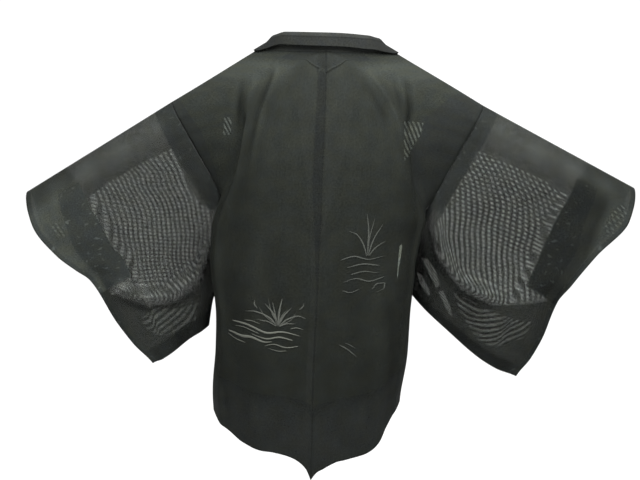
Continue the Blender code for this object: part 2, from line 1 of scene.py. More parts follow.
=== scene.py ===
"""A women's summer haori jacket in thin black weave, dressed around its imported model.

The jacket hangs as it is worn, open at the front and with its sleeves held out. Metres, +Z up, the
wearer faces -Y and the wearer's left is at +X. Only the tables of the body's sections, its creases
and the stitching are in millimetres. Every cut piece is a thin shell of cloth that follows its
solid: two body panels, two sleeves, two side gussets, the collar and the facing at the nape.
The cloth is sheer, so how much light passes each wall is worked out point by point: least where the
cloth lies double, most in the hanging part of the sleeves, where two walls of weave one behind the
other make the watered lines that such cloth shows.
"""

import logging
import math
from collections.abc import Sequence
from dataclasses import dataclass, field
from enum import Enum

import bpy
import numpy as np
from numpy.typing import NDArray
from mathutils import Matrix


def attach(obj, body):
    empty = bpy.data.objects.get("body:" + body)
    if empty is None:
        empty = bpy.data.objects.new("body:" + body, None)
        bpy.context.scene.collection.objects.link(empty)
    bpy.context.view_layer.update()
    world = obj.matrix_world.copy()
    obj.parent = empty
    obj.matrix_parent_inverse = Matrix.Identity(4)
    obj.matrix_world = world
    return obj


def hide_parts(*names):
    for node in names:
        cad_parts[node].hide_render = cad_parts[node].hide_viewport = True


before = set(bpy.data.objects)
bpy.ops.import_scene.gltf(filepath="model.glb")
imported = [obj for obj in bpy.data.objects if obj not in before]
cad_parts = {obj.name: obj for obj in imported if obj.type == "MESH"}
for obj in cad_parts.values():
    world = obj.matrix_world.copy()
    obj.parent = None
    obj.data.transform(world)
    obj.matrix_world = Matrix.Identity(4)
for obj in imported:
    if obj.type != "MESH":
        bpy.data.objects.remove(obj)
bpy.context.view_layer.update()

Array = NDArray[np.float64]
Indices = NDArray[np.int64]
Colour = tuple[float, float, float]
Place = tuple[float, float, float]
Rows = tuple[tuple[float, float], ...]
Stroke = tuple[float | tuple[float, float], ...]
Socket = bpy.types.NodeSocket
Value = Socket | float | Colour

LOG = logging.getLogger("haori")


class Side(Enum):
    """The wearer's two sides. The value is the sign of X there."""

    LEFT = 1
    RIGHT = -1


class Face(Enum):
    """The two faces of the worn garment. The value is the sign of Y there."""

    BACK = 1
    FRONT = -1


# --- Curves and soft steps ---


def glide(knots: Sequence[float] | Array, values: Sequence | Array, at: Array) -> Array:
    """A smooth curve through table rows that never swings past them.

    A cubic runs between each pair of rows. Its slope at a row is the weighted harmonic mean of the
    rises on both sides, or level where the rises have different signs.

    Args:
        knots: Where the rows are, rising.
        values: One value or one array for each row.
        at: Where the curve is read.

    Returns:
        The values there, with the shape of at and then that of a row.
    """
    knots = np.asarray(knots, float)
    values = np.asarray(values, float)
    at = np.asarray(at, float)
    flat = values.reshape(len(knots), -1)
    step = np.diff(knots)[:, None]
    rise = np.diff(flat, axis=0) / step
    before, after = rise[:-1], rise[1:]
    same_way = before * after > 0
    weight_before = 2 * step[1:] + step[:-1]
    weight_after = step[1:] + 2 * step[:-1]
    whole = weight_before + weight_after
    shares = weight_before / np.where(same_way, before, 1.0) + weight_after / np.where(same_way, after, 1.0)
    slope = np.zeros_like(flat)
    slope[1:-1] = np.where(same_way, whole / np.where(same_way, shares, 1.0), 0.0)
    slope[0], slope[-1] = rise[0], rise[-1]
    where = np.clip(at.ravel(), knots[0], knots[-1])
    cell = np.clip(np.searchsorted(knots, where, side="right") - 1, 0, len(knots) - 2)
    width = step[cell]
    t = ((where - knots[cell]) / width[:, 0])[:, None]
    start = (1 + 2 * t) * (1 - t) ** 2 * flat[cell] + t * (1 - t) ** 2 * width * slope[cell]
    end = t * t * (3 - 2 * t) * flat[cell + 1] + t * t * (t - 1) * width * slope[cell + 1]
    return (start + end).reshape(at.shape + values.shape[1:])


def glide_rows(rows: Rows, at: Array) -> Array:
    """The same curve through rows that each give a place and the value there."""
    return glide(*zip(*rows), at)


def metres(row: Sequence[float]) -> tuple[float, ...]:
    """A row of millimetres in metres."""
    return tuple(size / 1000 for size in row)


def ease(x: Array | float) -> Array:
    """0 below 0, 1 above 1, and a soft step between."""
    x = np.clip(x, 0.0, 1.0)
    return x * x * (3 - 2 * x)


def switch(x: Array | float, width: float) -> Array:
    """A soft step of this width about 0: 0 below it and 1 above it."""
    return ease(x / width + 0.5)


def phase(distance: Array, pitch: Array | float) -> Array:
    """The angle of an even pattern at a distance: a full circle for each pitch."""
    return 2 * math.pi * distance / pitch


def waver(x: Array, z: Array, waves: Sequence[tuple[float, float, float, float]]) -> Array:
    """A sum of sine waves: height, turns with X and with Z in radians for each metre, and start."""
    return sum(height * np.sin(with_x * x + with_z * z + start) for height, with_x, with_z, start in waves)


def bell(x: Array | float, middle: float, width: float) -> Array:
    """A soft bump of height 1 and this half width."""
    return np.exp(-(((x - middle) / width) ** 2))


def unit(v: Array) -> Array:
    """Vectors scaled to length 1."""
    return v / np.maximum(np.linalg.norm(v, axis=-1, keepdims=True), 1e-12)


def grid_normals(grid: Array) -> Array:
    """The direction across the cloth at each point of a grid: the cross product of its two steps."""
    return unit(np.cross(np.gradient(grid, axis=1), np.gradient(grid, axis=0)))


def within_plane(normals: Array, across: Array) -> Array:
    """These directions with the part along one direction taken out."""
    return unit(normals - across * np.sum(normals * across, axis=-1, keepdims=True))


def inside(u: Array, v: Array, outline: Rows, scale: float) -> Array:
    """The distance to an outline, positive inside it.

    It is the distance to the nearest side. A point is inside where a ray from it crosses the
    outline an odd number of times.

    Args:
        u: The places across the cloth, as the outline counts them.
        v: The places along the cloth, in metres.
        outline: The corners in order.
        scale: The metres in one unit of u.

    Returns:
        The distance in metres.
    """
    nearest = np.full(u.shape, np.inf)
    odd = np.zeros(u.shape, bool)
    x = u * scale
    for (u0, v0), (u1, v1) in zip(outline, [*outline[1:], outline[0]]):
        x0, x1 = u0 * scale, u1 * scale
        length = max((x1 - x0) ** 2 + (v1 - v0) ** 2, 1e-12)
        t = np.clip(((x - x0) * (x1 - x0) + (v - v0) * (v1 - v0)) / length, 0.0, 1.0)
        nearest = np.minimum(nearest, np.hypot(x - x0 - t * (x1 - x0), v - v0 - t * (v1 - v0)))
        rise = v1 - v0 if v1 != v0 else 1e-12
        crossing = ((v0 > v) != (v1 > v)) & (x < x0 + (v - v0) / rise * (x1 - x0))
        odd ^= crossing
    return np.where(odd, nearest, -nearest)


# --- Thin shells of cloth ---


def grid_quads(rows: int, columns: int) -> Indices:
    """The four corners of each cell of a grid whose points are numbered row by row."""
    corner = (np.arange(rows - 1)[:, None] * columns + np.arange(columns - 1)[None]).ravel()
    return np.stack([corner, corner + 1, corner + columns + 1, corner + columns], axis=1)


def open_edges(quads: Indices, total: int) -> Indices:
    """The directed edges that only one face has, as pairs of points."""
    starts, ends = quads.ravel(), np.roll(quads, -1, axis=1).ravel()
    keep = ~np.isin(starts * total + ends, ends * total + starts)
    return np.stack([starts[keep], ends[keep]], axis=1)


@dataclass
class Cloth:
    """One layer of cloth before it has a thickness.

    Attributes:
        points: The middle of the cloth, by row, by column, by 3.
        cut: Where each point lies on the flat cut piece, across and along, in metres.
        fields: What the finish reads at each point, by name.
        normals: The direction across the cloth at each point, outwards, or None for the grid's own.
        quads: The faces, which look outwards, or None for one in each cell of the grid.
    """

    points: Array
    cut: Array
    fields: dict[str, Array]
    normals: Array | None = None
    quads: Indices | None = None

    def shell(self, name: str, thickness: float, finish: bpy.types.Material) -> bpy.types.Object:
        """Makes the closed shell: the points moved half the thickness both ways, joined at the rim.

        Args:
            name: The piece's name.
            thickness: How thick the cloth is, in metres.
            finish: Its material.

        Returns:
            The piece, at the origin.
        """
        quads = grid_quads(*self.points.shape[:2]) if self.quads is None else self.quads
        normals = grid_normals(self.points) if self.normals is None else self.normals
        points, half = self.points.reshape(-1, 3), normals.reshape(-1, 3) * thickness / 2
        total = len(points)
        edges = open_edges(quads, total)
        rim = np.stack([edges[:, 1], edges[:, 0], edges[:, 0] + total, edges[:, 1] + total], axis=1)
        faces = np.concatenate([quads, quads[:, ::-1] + total, rim])
        mesh = bpy.data.meshes.new(name)
        mesh.from_pydata(np.concatenate([points + half, points - half]).tolist(), [], faces.tolist())
        mesh.update()
        mesh.shade_smooth()
        flat = self.cut.reshape(-1, 2)[faces.ravel() % total]
        mesh.uv_layers.new(name="cut").data.foreach_set("uv", flat.astype(np.float32).ravel())
        for key, values in self.fields.items():
            layer = mesh.attributes.new(key, "FLOAT", "POINT")
            layer.data.foreach_set("value", np.tile(values.ravel(), 2).astype(np.float32))
        mesh.materials.append(finish)
        piece = bpy.data.objects.new(name, mesh)
        bpy.context.scene.collection.objects.link(piece)
        return piece


class CutPiece:
    """A cut piece of the jacket. Each kind has a name and works out its cloth."""

    name: str
    thickness: float = 0.0008

    def cloth(self) -> Cloth:
        """The piece before it has a thickness."""
        raise NotImplementedError

    def build(self, finish: bpy.types.Material) -> bpy.types.Object:
        """Makes the piece.

        Args:
            finish: Its material.

        Returns:
            The piece, at the origin.
        """
        return self.cloth().shell(f"{self.name}_cloth", self.thickness, finish)


def lengths_over(grid: Array, axis: int) -> Array:
    """The length over the cloth from the first point of each row or column of a grid."""
    steps = np.linalg.norm(np.diff(grid, axis=axis), axis=-1)
    none = np.zeros_like(np.take(steps, [0], axis))
    return np.concatenate([none, np.cumsum(steps, axis=axis)], axis=axis)


# --- The sleeves' form ---

# How far each edge stands back from the seam between body and sleeve
SEAM_GAP = 0.0002
ARMHOLE_DEPTH = 0.215
SLEEVE_DEPTH = 0.455
SLEEVE_WIDTH = 0.333
CUFF_OPENING = 0.232
ARM_RADIUS = 0.038
# Half the distance between the walls where they are sewn together
SEWN_HALF = 0.0045
# How far above the bottom, and above the hand opening, the walls begin to close up
BOTTOM_CLOSING = 0.045
HAND_CLOSING = 0.035
# The last part of the sleeve's width, in which the seam at the hand and the corner below it lie
HAND_PART = (0.80, 0.20)
CORNER_ROUNDING = 0.006
# The height of the slow waves that both walls share
LOOSE = 0.0035
QUARTER_TURN = ARM_RADIUS * math.pi / 2
TURN_EXTRA = ARM_RADIUS * (math.pi / 2 - 1)
SLEEVE_LENGTH = SLEEVE_DEPTH + TURN_EXTRA


@dataclass(frozen=True)
class Edge:
    """A point of a sleeve's edge, by the distance down from the folded top. x counts outwards."""

    down: float
    x: float
    y: float
    z: float


@dataclass(frozen=True)
class Pleat:
    """A narrow upright fold of a sleeve: where it is across and down, its width and its height."""

    along: float
    top: float
    bottom: float
    width: float
    rise: float


@dataclass(frozen=True)
class SleeveForm:
    """The shape of one hanging sleeve.

    Attributes:
        side: The wearer's side that it is on.
        inner: The edge at the body, sewn between its first two rows and free below.
        hand: The edge at the hand.
        bottom_sag: How far the bottom hangs through between its corners.
        gather: The height of the waves in the lower part.
        slump: Where the hanging cloth folds over on itself, as distances over the cloth by the
            share of the width from the armhole.
        reach: The share of the width at which that fold has faded out.
        pleats: The narrow upright folds.
    """

    side: Side
    inner: tuple[Edge, ...]
    hand: tuple[Edge, ...]
    bottom_sag: float
    gather: float
    slump: Rows
    reach: float
    pleats: tuple[Pleat, ...]

    # Half the distance between the walls, by the distance down
    FULLNESS = (
        (0.030, 0.038), (0.070, 0.036), (0.140, 0.027), (0.220, 0.019), (0.330, 0.014), (0.440, 0.011),
    )
    # The roll of the folded cloth and the crease under it: height, place past the fold, width
    ROLL = (0.014, -0.017, 0.019)
    UNDER_ROLL = (-0.009, 0.009, 0.010)
    # How far a pleat leans to the hand for each metre down, and the length over which it fades
    PLEAT_LEAN = 0.10
    PLEAT_FADE = 0.03

    def edge_line(self, rows: Sequence[Edge], down: Array) -> Array:
        """Points of an edge at each distance down: a smooth curve through its rows."""
        points = [(self.side.value * r.x, r.y, r.z) for r in rows]
        return glide([r.down for r in rows], points, down)

    def inner_line(self, down: Array) -> Array:
        """Points of the edge at the body: a straight line down the armhole, and then a free curve."""
        top, under = (np.array([self.side.value * r.x, r.y, r.z]) for r in self.inner[:2])
        share = (down / ARMHOLE_DEPTH)[..., None]
        return np.where(share <= 1, top + (under - top) * share, self.edge_line(self.inner[1:], down))

    def armhole_normal(self) -> Array:
        """The direction across the armhole, away from the body."""
        top, under = self.inner[:2]
        return unit(np.array([self.side.value * (top.z - under.z), 0.0, under.x - top.x]))

    def over_arm(self, distance: Array) -> tuple[Array, Array]:
        """How far down and how far out the cloth lies at a distance over it from the folded top.

        It goes a quarter of the way round a circle of the arm's radius, and then straight down.

        Args:
            distance: Lengths over the cloth.

        Returns:
            The distances down and the distances from the middle surface.
        """
        angle = np.minimum(distance, QUARTER_TURN) / ARM_RADIUS
        down = ARM_RADIUS * (1 - np.cos(angle)) + np.maximum(distance - QUARTER_TURN, 0.0)
        return down, np.minimum(ARM_RADIUS * np.sin(angle), glide_rows(self.FULLNESS, down))

    def armhole(self, distance: Array, face: Face) -> Array:
        """Points of the seam between body and sleeve.

        Args:
            distance: The lengths over the cloth from the folded top.
            face: Back or front.

        Returns:
            The points.
        """
        down, out = self.over_arm(distance)
        points = self.inner_line(down)
        points[..., 1] += face.value * out
        return points

    def past_slump(self, along: Array, distance: Array) -> Array:
        """How far below the fold of the hanging cloth a point lies, over the cloth."""
        return distance - glide_rows(self.slump, along)

    def fold_rise(self, along: Array, distance: Array) -> Array:
        """How far the hanging folds stand out from the wall.

        The slump is a bell above its line less a narrower bell below it, which makes a roll with a
        crease under it. Each pleat is a bell across, faded in and out over its length.

        Args:
            along: The share of the width from the armhole.
            distance: The length over the cloth from the folded top.

        Returns:
            The height, outwards.
        """
        spread = ease(along / 0.16) * ease((self.reach - along) / 0.25)
        past = self.past_slump(along, distance)
        rise = spread * sum(height * bell(past, *place) for height, *place in (self.ROLL, self.UNDER_ROLL))
        for pleat in self.pleats:
            middle = pleat.along + self.PLEAT_LEAN * (distance - pleat.top)
            ends = [ease(over / self.PLEAT_FADE) for over in (distance - pleat.top, pleat.bottom - distance)]
            rise = rise + pleat.rise * bell(along - middle, 0.0, pleat.width) * ends[0] * ends[1]
        return rise

    def sewn(self, along: Array, down: Array) -> Array:
        """1 where back and front are sewn together: along the bottom and below the hand opening."""
        start, width = HAND_PART
        at_hand = ease((along - start) / width) * ease((down - CUFF_OPENING + HAND_CLOSING) / HAND_CLOSING)
        return np.maximum(at_hand, ease((down - SLEEVE_DEPTH + BOTTOM_CLOSING) / BOTTOM_CLOSING))

    def wall(self, along: Array, distance: Array, face: Face) -> Array:
        """Points of one wall.

        The middle surface is drawn straight between the two edges, and the wall stands off it by
        half the sleeve's fullness, by waves that both walls share and by its own folds.

        Args:
            along: The share of the width from the armhole, 0 to 1.
            distance: The length over the cloth from the folded top.
            face: Back or front wall.

        Returns:
            The points, with the shape of along and then 3.
        """
        side = self.side.value
        down, half = self.over_arm(distance)
        share = along[..., None]
        points = self.inner_line(down) * (1 - share) + self.edge_line(self.hand, down) * share
        depth = down / SLEEVE_DEPTH
        points[..., 2] -= self.bottom_sag * 4 * along * (1 - along) * ease((depth - 0.5) / 0.5)
        start, width = HAND_PART
        corner = ease((along - start) / width) * ease((depth - 0.86) / 0.14)
        points[..., 0] -= side * CORNER_ROUNDING * 0.35 * corner
        points[..., 2] += CORNER_ROUNDING * corner
        sewn = self.sewn(along, down)
        half = half * (1 - sewn) + SEWN_HALF * sewn
        hanging = ease((down - 0.20) / (SLEEVE_DEPTH - 0.20)) * (1 - along) ** 0.8
        gather = self.gather * hanging * np.sin(2 * math.pi * (1.65 * along + 0.10))
        loose = LOOSE * np.sin(7.0 * along + 9.0 * down + side) * ease(down / 0.12)
        rise = self.fold_rise(along, distance)
        points[..., 1] += gather + loose * (1 - sewn) + face.value * (half + rise * (1 - sewn))
        return points


LEFT_FORM = SleeveForm(
    side=Side.LEFT,
    inner=(
        Edge(0.000, 0.284, 0.000, -0.103),
        Edge(0.215, 0.185, 0.000, -0.288),
        Edge(0.250, 0.192, -0.006, -0.320),
        Edge(0.300, 0.203, -0.018, -0.368),
        Edge(0.380, 0.204, -0.030, -0.449),
        Edge(0.410, 0.215, -0.032, -0.480),
        Edge(0.455, 0.222, -0.034, -0.526),
    ),
    hand=(
        Edge(0.000, 0.555, 0.000, -0.269),
        Edge(0.070, 0.540, 0.000, -0.330),
        Edge(0.150, 0.500, 0.000, -0.386),
        Edge(0.232, 0.442, 0.000, -0.436),
        Edge(0.340, 0.392, 0.006, -0.516),
        Edge(0.455, 0.328, 0.010, -0.598),
    ),
    bottom_sag=0.002,
    gather=0.016,
    slump=(
        (0.00, 0.335), (0.10, 0.345), (0.19, 0.375), (0.44, 0.383), (0.69, 0.356), (0.85, 0.315),
        (1.0, 0.262),
    ),
    reach=1.02,
    pleats=(
        Pleat(0.035, 0.330, 0.420, 0.022, 0.006),
        Pleat(0.085, 0.350, 0.430, 0.020, -0.005),
    ),
)
RIGHT_FORM = SleeveForm(
    side=Side.RIGHT,
    inner=(
        Edge(0.000, 0.290, 0.000, -0.110),
        Edge(0.215, 0.190, 0.000, -0.294),
        Edge(0.250, 0.172, -0.010, -0.322),
        Edge(0.300, 0.153, -0.018, -0.362),
        Edge(0.380, 0.150, -0.034, -0.418),
        Edge(0.455, 0.158, -0.044, -0.461),
    ),
    hand=(
        Edge(0.000, 0.572, 0.000, -0.262),
        Edge(0.070, 0.558, 0.000, -0.322),
        Edge(0.150, 0.499, 0.000, -0.389),
        Edge(0.232, 0.436, 0.000, -0.476),
        Edge(0.340, 0.406, 0.006, -0.548),
        Edge(0.455, 0.361, 0.010, -0.623),
    ),
    bottom_sag=0.020,
    gather=0.022,
    slump=(
        (0.00, 0.240), (0.07, 0.265), (0.23, 0.319), (0.42, 0.351), (0.62, 0.340), (0.84, 0.289),
        (1.0, 0.247),
    ),
    reach=0.74,
    pleats=(
        Pleat(0.030, 0.270, 0.430, 0.020, 0.008),
        Pleat(0.085, 0.290, 0.440, 0.018, -0.008),
        Pleat(0.125, 0.300, 0.430, 0.017, 0.007),
        Pleat(0.170, 0.330, 0.420, 0.016, -0.005),
    ),
)
SLEEVES = {form.side: form for form in (LEFT_FORM, RIGHT_FORM)}


# --- The body's form ---

NAPE_UP = 0.812
SHOULDER_UP = 0.890
FRONT_HEM_UP = 1.690
ARMHOLE_UPS = (0.512, 1.212)
GUSSET_TOP_UP = 0.500
GUSSET_TOP_FRONT_UP = 1.224
# The hem's point at the centre seam: its drop, the share of the width it takes, the height it fades over
HEM_POINT_DROP = 0.033
HEM_POINT_WIDTH = 0.055
HEM_POINT_FADE = 0.30
# How much of the hem's curve lies near the side: the power of the share of the width
HEM_BEND = 2.2
HEM_SIDE_LIFT = {Side.LEFT: 0.000, Side.RIGHT: 0.016}
# How far the hem is lifted beside its point, by the place across the panel
HEM_TRIM = {
    Side.LEFT: (
        (0.0, 0.009), (0.11, 0.0176), (0.37, 0.0195), (0.77, 0.016), (1.04, 0.0106), (1.35, 0.0053),
        (1.6, 0.001), (2.2, 0.0), (4.0, 0.0),
    ),
    Side.RIGHT: (
        (0.0, 0.009), (0.15, 0.007), (0.3, 0.0035), (0.55, 0.0035), (0.8, -0.0018), (1.1, -0.009),
        (1.4, -0.0176), (1.55, -0.0195), (1.7, -0.018), (1.95, -0.006), (2.4, 0.0), (4.0, 0.0),
    ),
}
# How much lower the cloth lies at the neck for each metre towards it
NECK_TILT = 0.036
# The share of a panel's width past which it has no long folds, and the part in which they fade
FOLDS_END = (0.74, 0.12)


@dataclass(frozen=True)
class Section:
    """One cross section of half the body, from the centre edge to the side edge.

    up is the length of cloth from the back hem along the centre. in is the centre edge, and blade
    lies between it and crest, where the cloth stands out furthest before it turns under the arm.
    tuck is the bottom of that turn. edge is the side edge's X, Y and Z or, where the edge lies on
    the armhole, only its distance over the cloth from the shoulder line.
    """

    up: float
    in_x: float
    in_y: float
    in_z: float
    blade_x: float
    blade_y: float
    crest_x: float
    crest_y: float
    tuck_x: float
    tuck_y: float
    edge: tuple[float, ...]


# The sections in millimetres: up, the centre edge, the blade, the crest, the tuck, and the side edge
SECTION_ROWS = (
    (0, 0, 182, -743, 80, 160, 148, 108, 172, 58, 172, 14, -672),
    (130, 0, 168, -635, 85, 154, 152, 110, 177, 60, 166, 14, -590),
    (270, 0, 156, -520, 88, 148, 158, 104, 178, 60, 158, 14, -495),
    (380, 0, 147, -422, 92, 141, 168, 98, 184, 62, 148, 14, -412),
    (455, 0, 141, -347, 94, 135, 170, 94, 190, 62, 152, 16, -347),
    (484, 0, 138, -318, 94, 133, 170, 95, 193, 61, 164, 17, -318),
    (512, 0, 136, -290, 94, 131, 166, 97, 188, 60, 237),
    (592, 0, 128, -212, 90, 125, 154, 101, 158, 62, 168),
    (682, 0, 112, -128, 84, 111, 143, 93, 154, 66, 104),
    (812, 0, 70, -10, 64, 74, 124, 66, 190, 52, 56),
    (846, 68, 56, -10, 106, 50, 152, 45, 212, 40, 28),
    (890, 119, 4, -6, 150, 0, 192, 0, 240, 0, 0),
    (932, 114, -36, -22, 140, -44, 172, -45, 224, -40, 30),
    (992, 96, -74, -72, 122, -78, 152, -76, 192, -58, 62),
    (1062, 83, -100, -140, 112, -102, 146, -94, 160, -66, 112),
    (1132, 76, -114, -210, 108, -115, 146, -94, 154, -62, 172),
    (1212, 72, -122, -290, 108, -120, 146, -90, 156, -56, 237),
    (1240, 72, -124, -318, 108, -121, 144, -88, 156, -52, 160, -16, -318),
    (1270, 71, -126, -347, 108, -122, 144, -86, 150, -50, 140, -15, -347),
    (1345, 70, -130, -422, 108, -126, 146, -88, 153, -52, 136, -22, -412),
    (1455, 70, -138, -525, 108, -134, 150, -94, 158, -58, 140, -30, -498),
    (1590, 70, -147, -650, 110, -142, 152, -100, 163, -62, 146, -36, -600),
    (1690, 70, -154, -745, 110, -148, 154, -103, 166, -64, 150, -40, -688),
)
SECTIONS = [Section(*row[:10], row[10:]) for row in map(metres, SECTION_ROWS)]

# How far the body hangs towards the wearer's left: height, shift at the centre, shift at the side
SWAY = (
    (-0.82, 0.030, 0.034),
    (-0.66, 0.025, 0.036),
    (-0.55, 0.021, 0.026),
    (-0.45, 0.016, 0.023),
    (-0.40, 0.014, 0.024),
    (-0.35, 0.012, 0.019),
    (-0.30, 0.009, 0.010),
    (-0.26, 0.008, 0.006),
    (-0.17, 0.004, 0.001),
    (-0.04, 0.000, 0.000),
    (0.10, 0.000, 0.000),
)


@dataclass(frozen=True)
class LongFold:
    """A long soft fold of a body panel: its place across the panel, its width, and its height."""

    side: Side
    across: float
    width: float
    at_hem: float
    at_yoke: float


LONG_FOLDS = (
    LongFold(Side.LEFT, 0.30, 0.070, 0.007, 0.002),
    LongFold(Side.LEFT, 0.46, 0.060, -0.006, -0.005),
    LongFold(Side.LEFT, 0.56, 0.045, 0.005, 0.006),
    LongFold(Side.RIGHT, 0.24, 0.070, -0.005, -0.002),
    LongFold(Side.RIGHT, 0.42, 0.060, 0.007, 0.004),
    LongFold(Side.RIGHT, 0.55, 0.045, -0.005, -0.005),
)


@dataclass(frozen=True)
class Crease:
    """A soft ridge, or a trough where rise is negative, along a line given in X and Z."""

    face: Face
    width: float
    rise: float
    line: Array

    def relief(self, x: Array, z: Array) -> Array:
        """Its height at points of the cloth.

        The height is a bell of the distance to the line, and it fades at the line's two ends.

        Args:
            x: The points' X.
            z: The points' Z.

        Returns:
            The height, outwards.
        """
        nearest = np.full(x.shape, np.inf)
        share = np.zeros(x.shape)
        count = len(self.line) - 1
        for k, (start, end) in enumerate(zip(self.line, self.line[1:])):
            step_x, step_z = end - start
            t = ((x - start[0]) * step_x + (z - start[1]) * step_z) / (step_x**2 + step_z**2)
            t = np.clip(t, 0.0, 1.0)
            away = np.hypot(x - start[0] - t * step_x, z - start[1] - t * step_z)
            share = np.where(away < nearest, (k + t) / count, share)
            nearest = np.minimum(nearest, away)
        ends = ease(share / 0.35) * ease((1 - share) / 0.40)
        return self.rise * bell(nearest, 0.0, self.width) * ends


# The creases of each face in millimetres: width, rise, and the line's points in X and Z
CREASE_ROWS = {
    Face.BACK: (
        (5, 4.5, (84, -20), (91, -51), (114, -114), (130, -180), (136, -250)),
        (6, -4.5, (94, -30), (103, -60), (126, -120), (140, -190)),
        (6, 3.5, (120, -35), (138, -85), (152, -140), (158, -200)),
        (6, -6, (148, -50), (157, -90), (161, -130), (163, -190)),
        (5, 4.5, (-70, -20), (-82, -52), (-113, -96), (-132, -140), (-140, -190)),
        (6, -3.5, (-60, -40), (-76, -80), (-104, -130), (-118, -190)),
        (5, -5, (-118, -50), (-130, -85), (-138, -130)),
        (5, -7, (-138, -45), (-148, -80), (-152, -120), (-150, -170)),
        (20, 3, (118, -330), (130, -450), (128, -600)),
        (8, -4, (196, -520), (192, -600), (173, -690)),
        (9, -5.5, (-112, -430), (-120, -540), (-113, -650), (-100, -700)),
        (16, 3, (-90, -400), (-94, -520), (-88, -640)),
    ),
    Face.FRONT: (
        (9, 4.5, (130, -60), (126, -120), (134, -200)),
        (7, -5, (150, -70), (150, -130), (152, -180)),
        (9, 4.5, (-128, -60), (-124, -130), (-130, -210)),
        (7, -5, (-150, -80), (-148, -140), (-150, -190)),
        (14, -4, (120, -380), (126, -520), (124, -660)),
        (14, 4, (-112, -360), (-118, -500), (-112, -650)),
    ),
}
CREASES = [
    Crease(face, *metres(row[:2]), np.array(row[2:]) / 1000)
    for face, rows in CREASE_ROWS.items()
    for row in rows
]


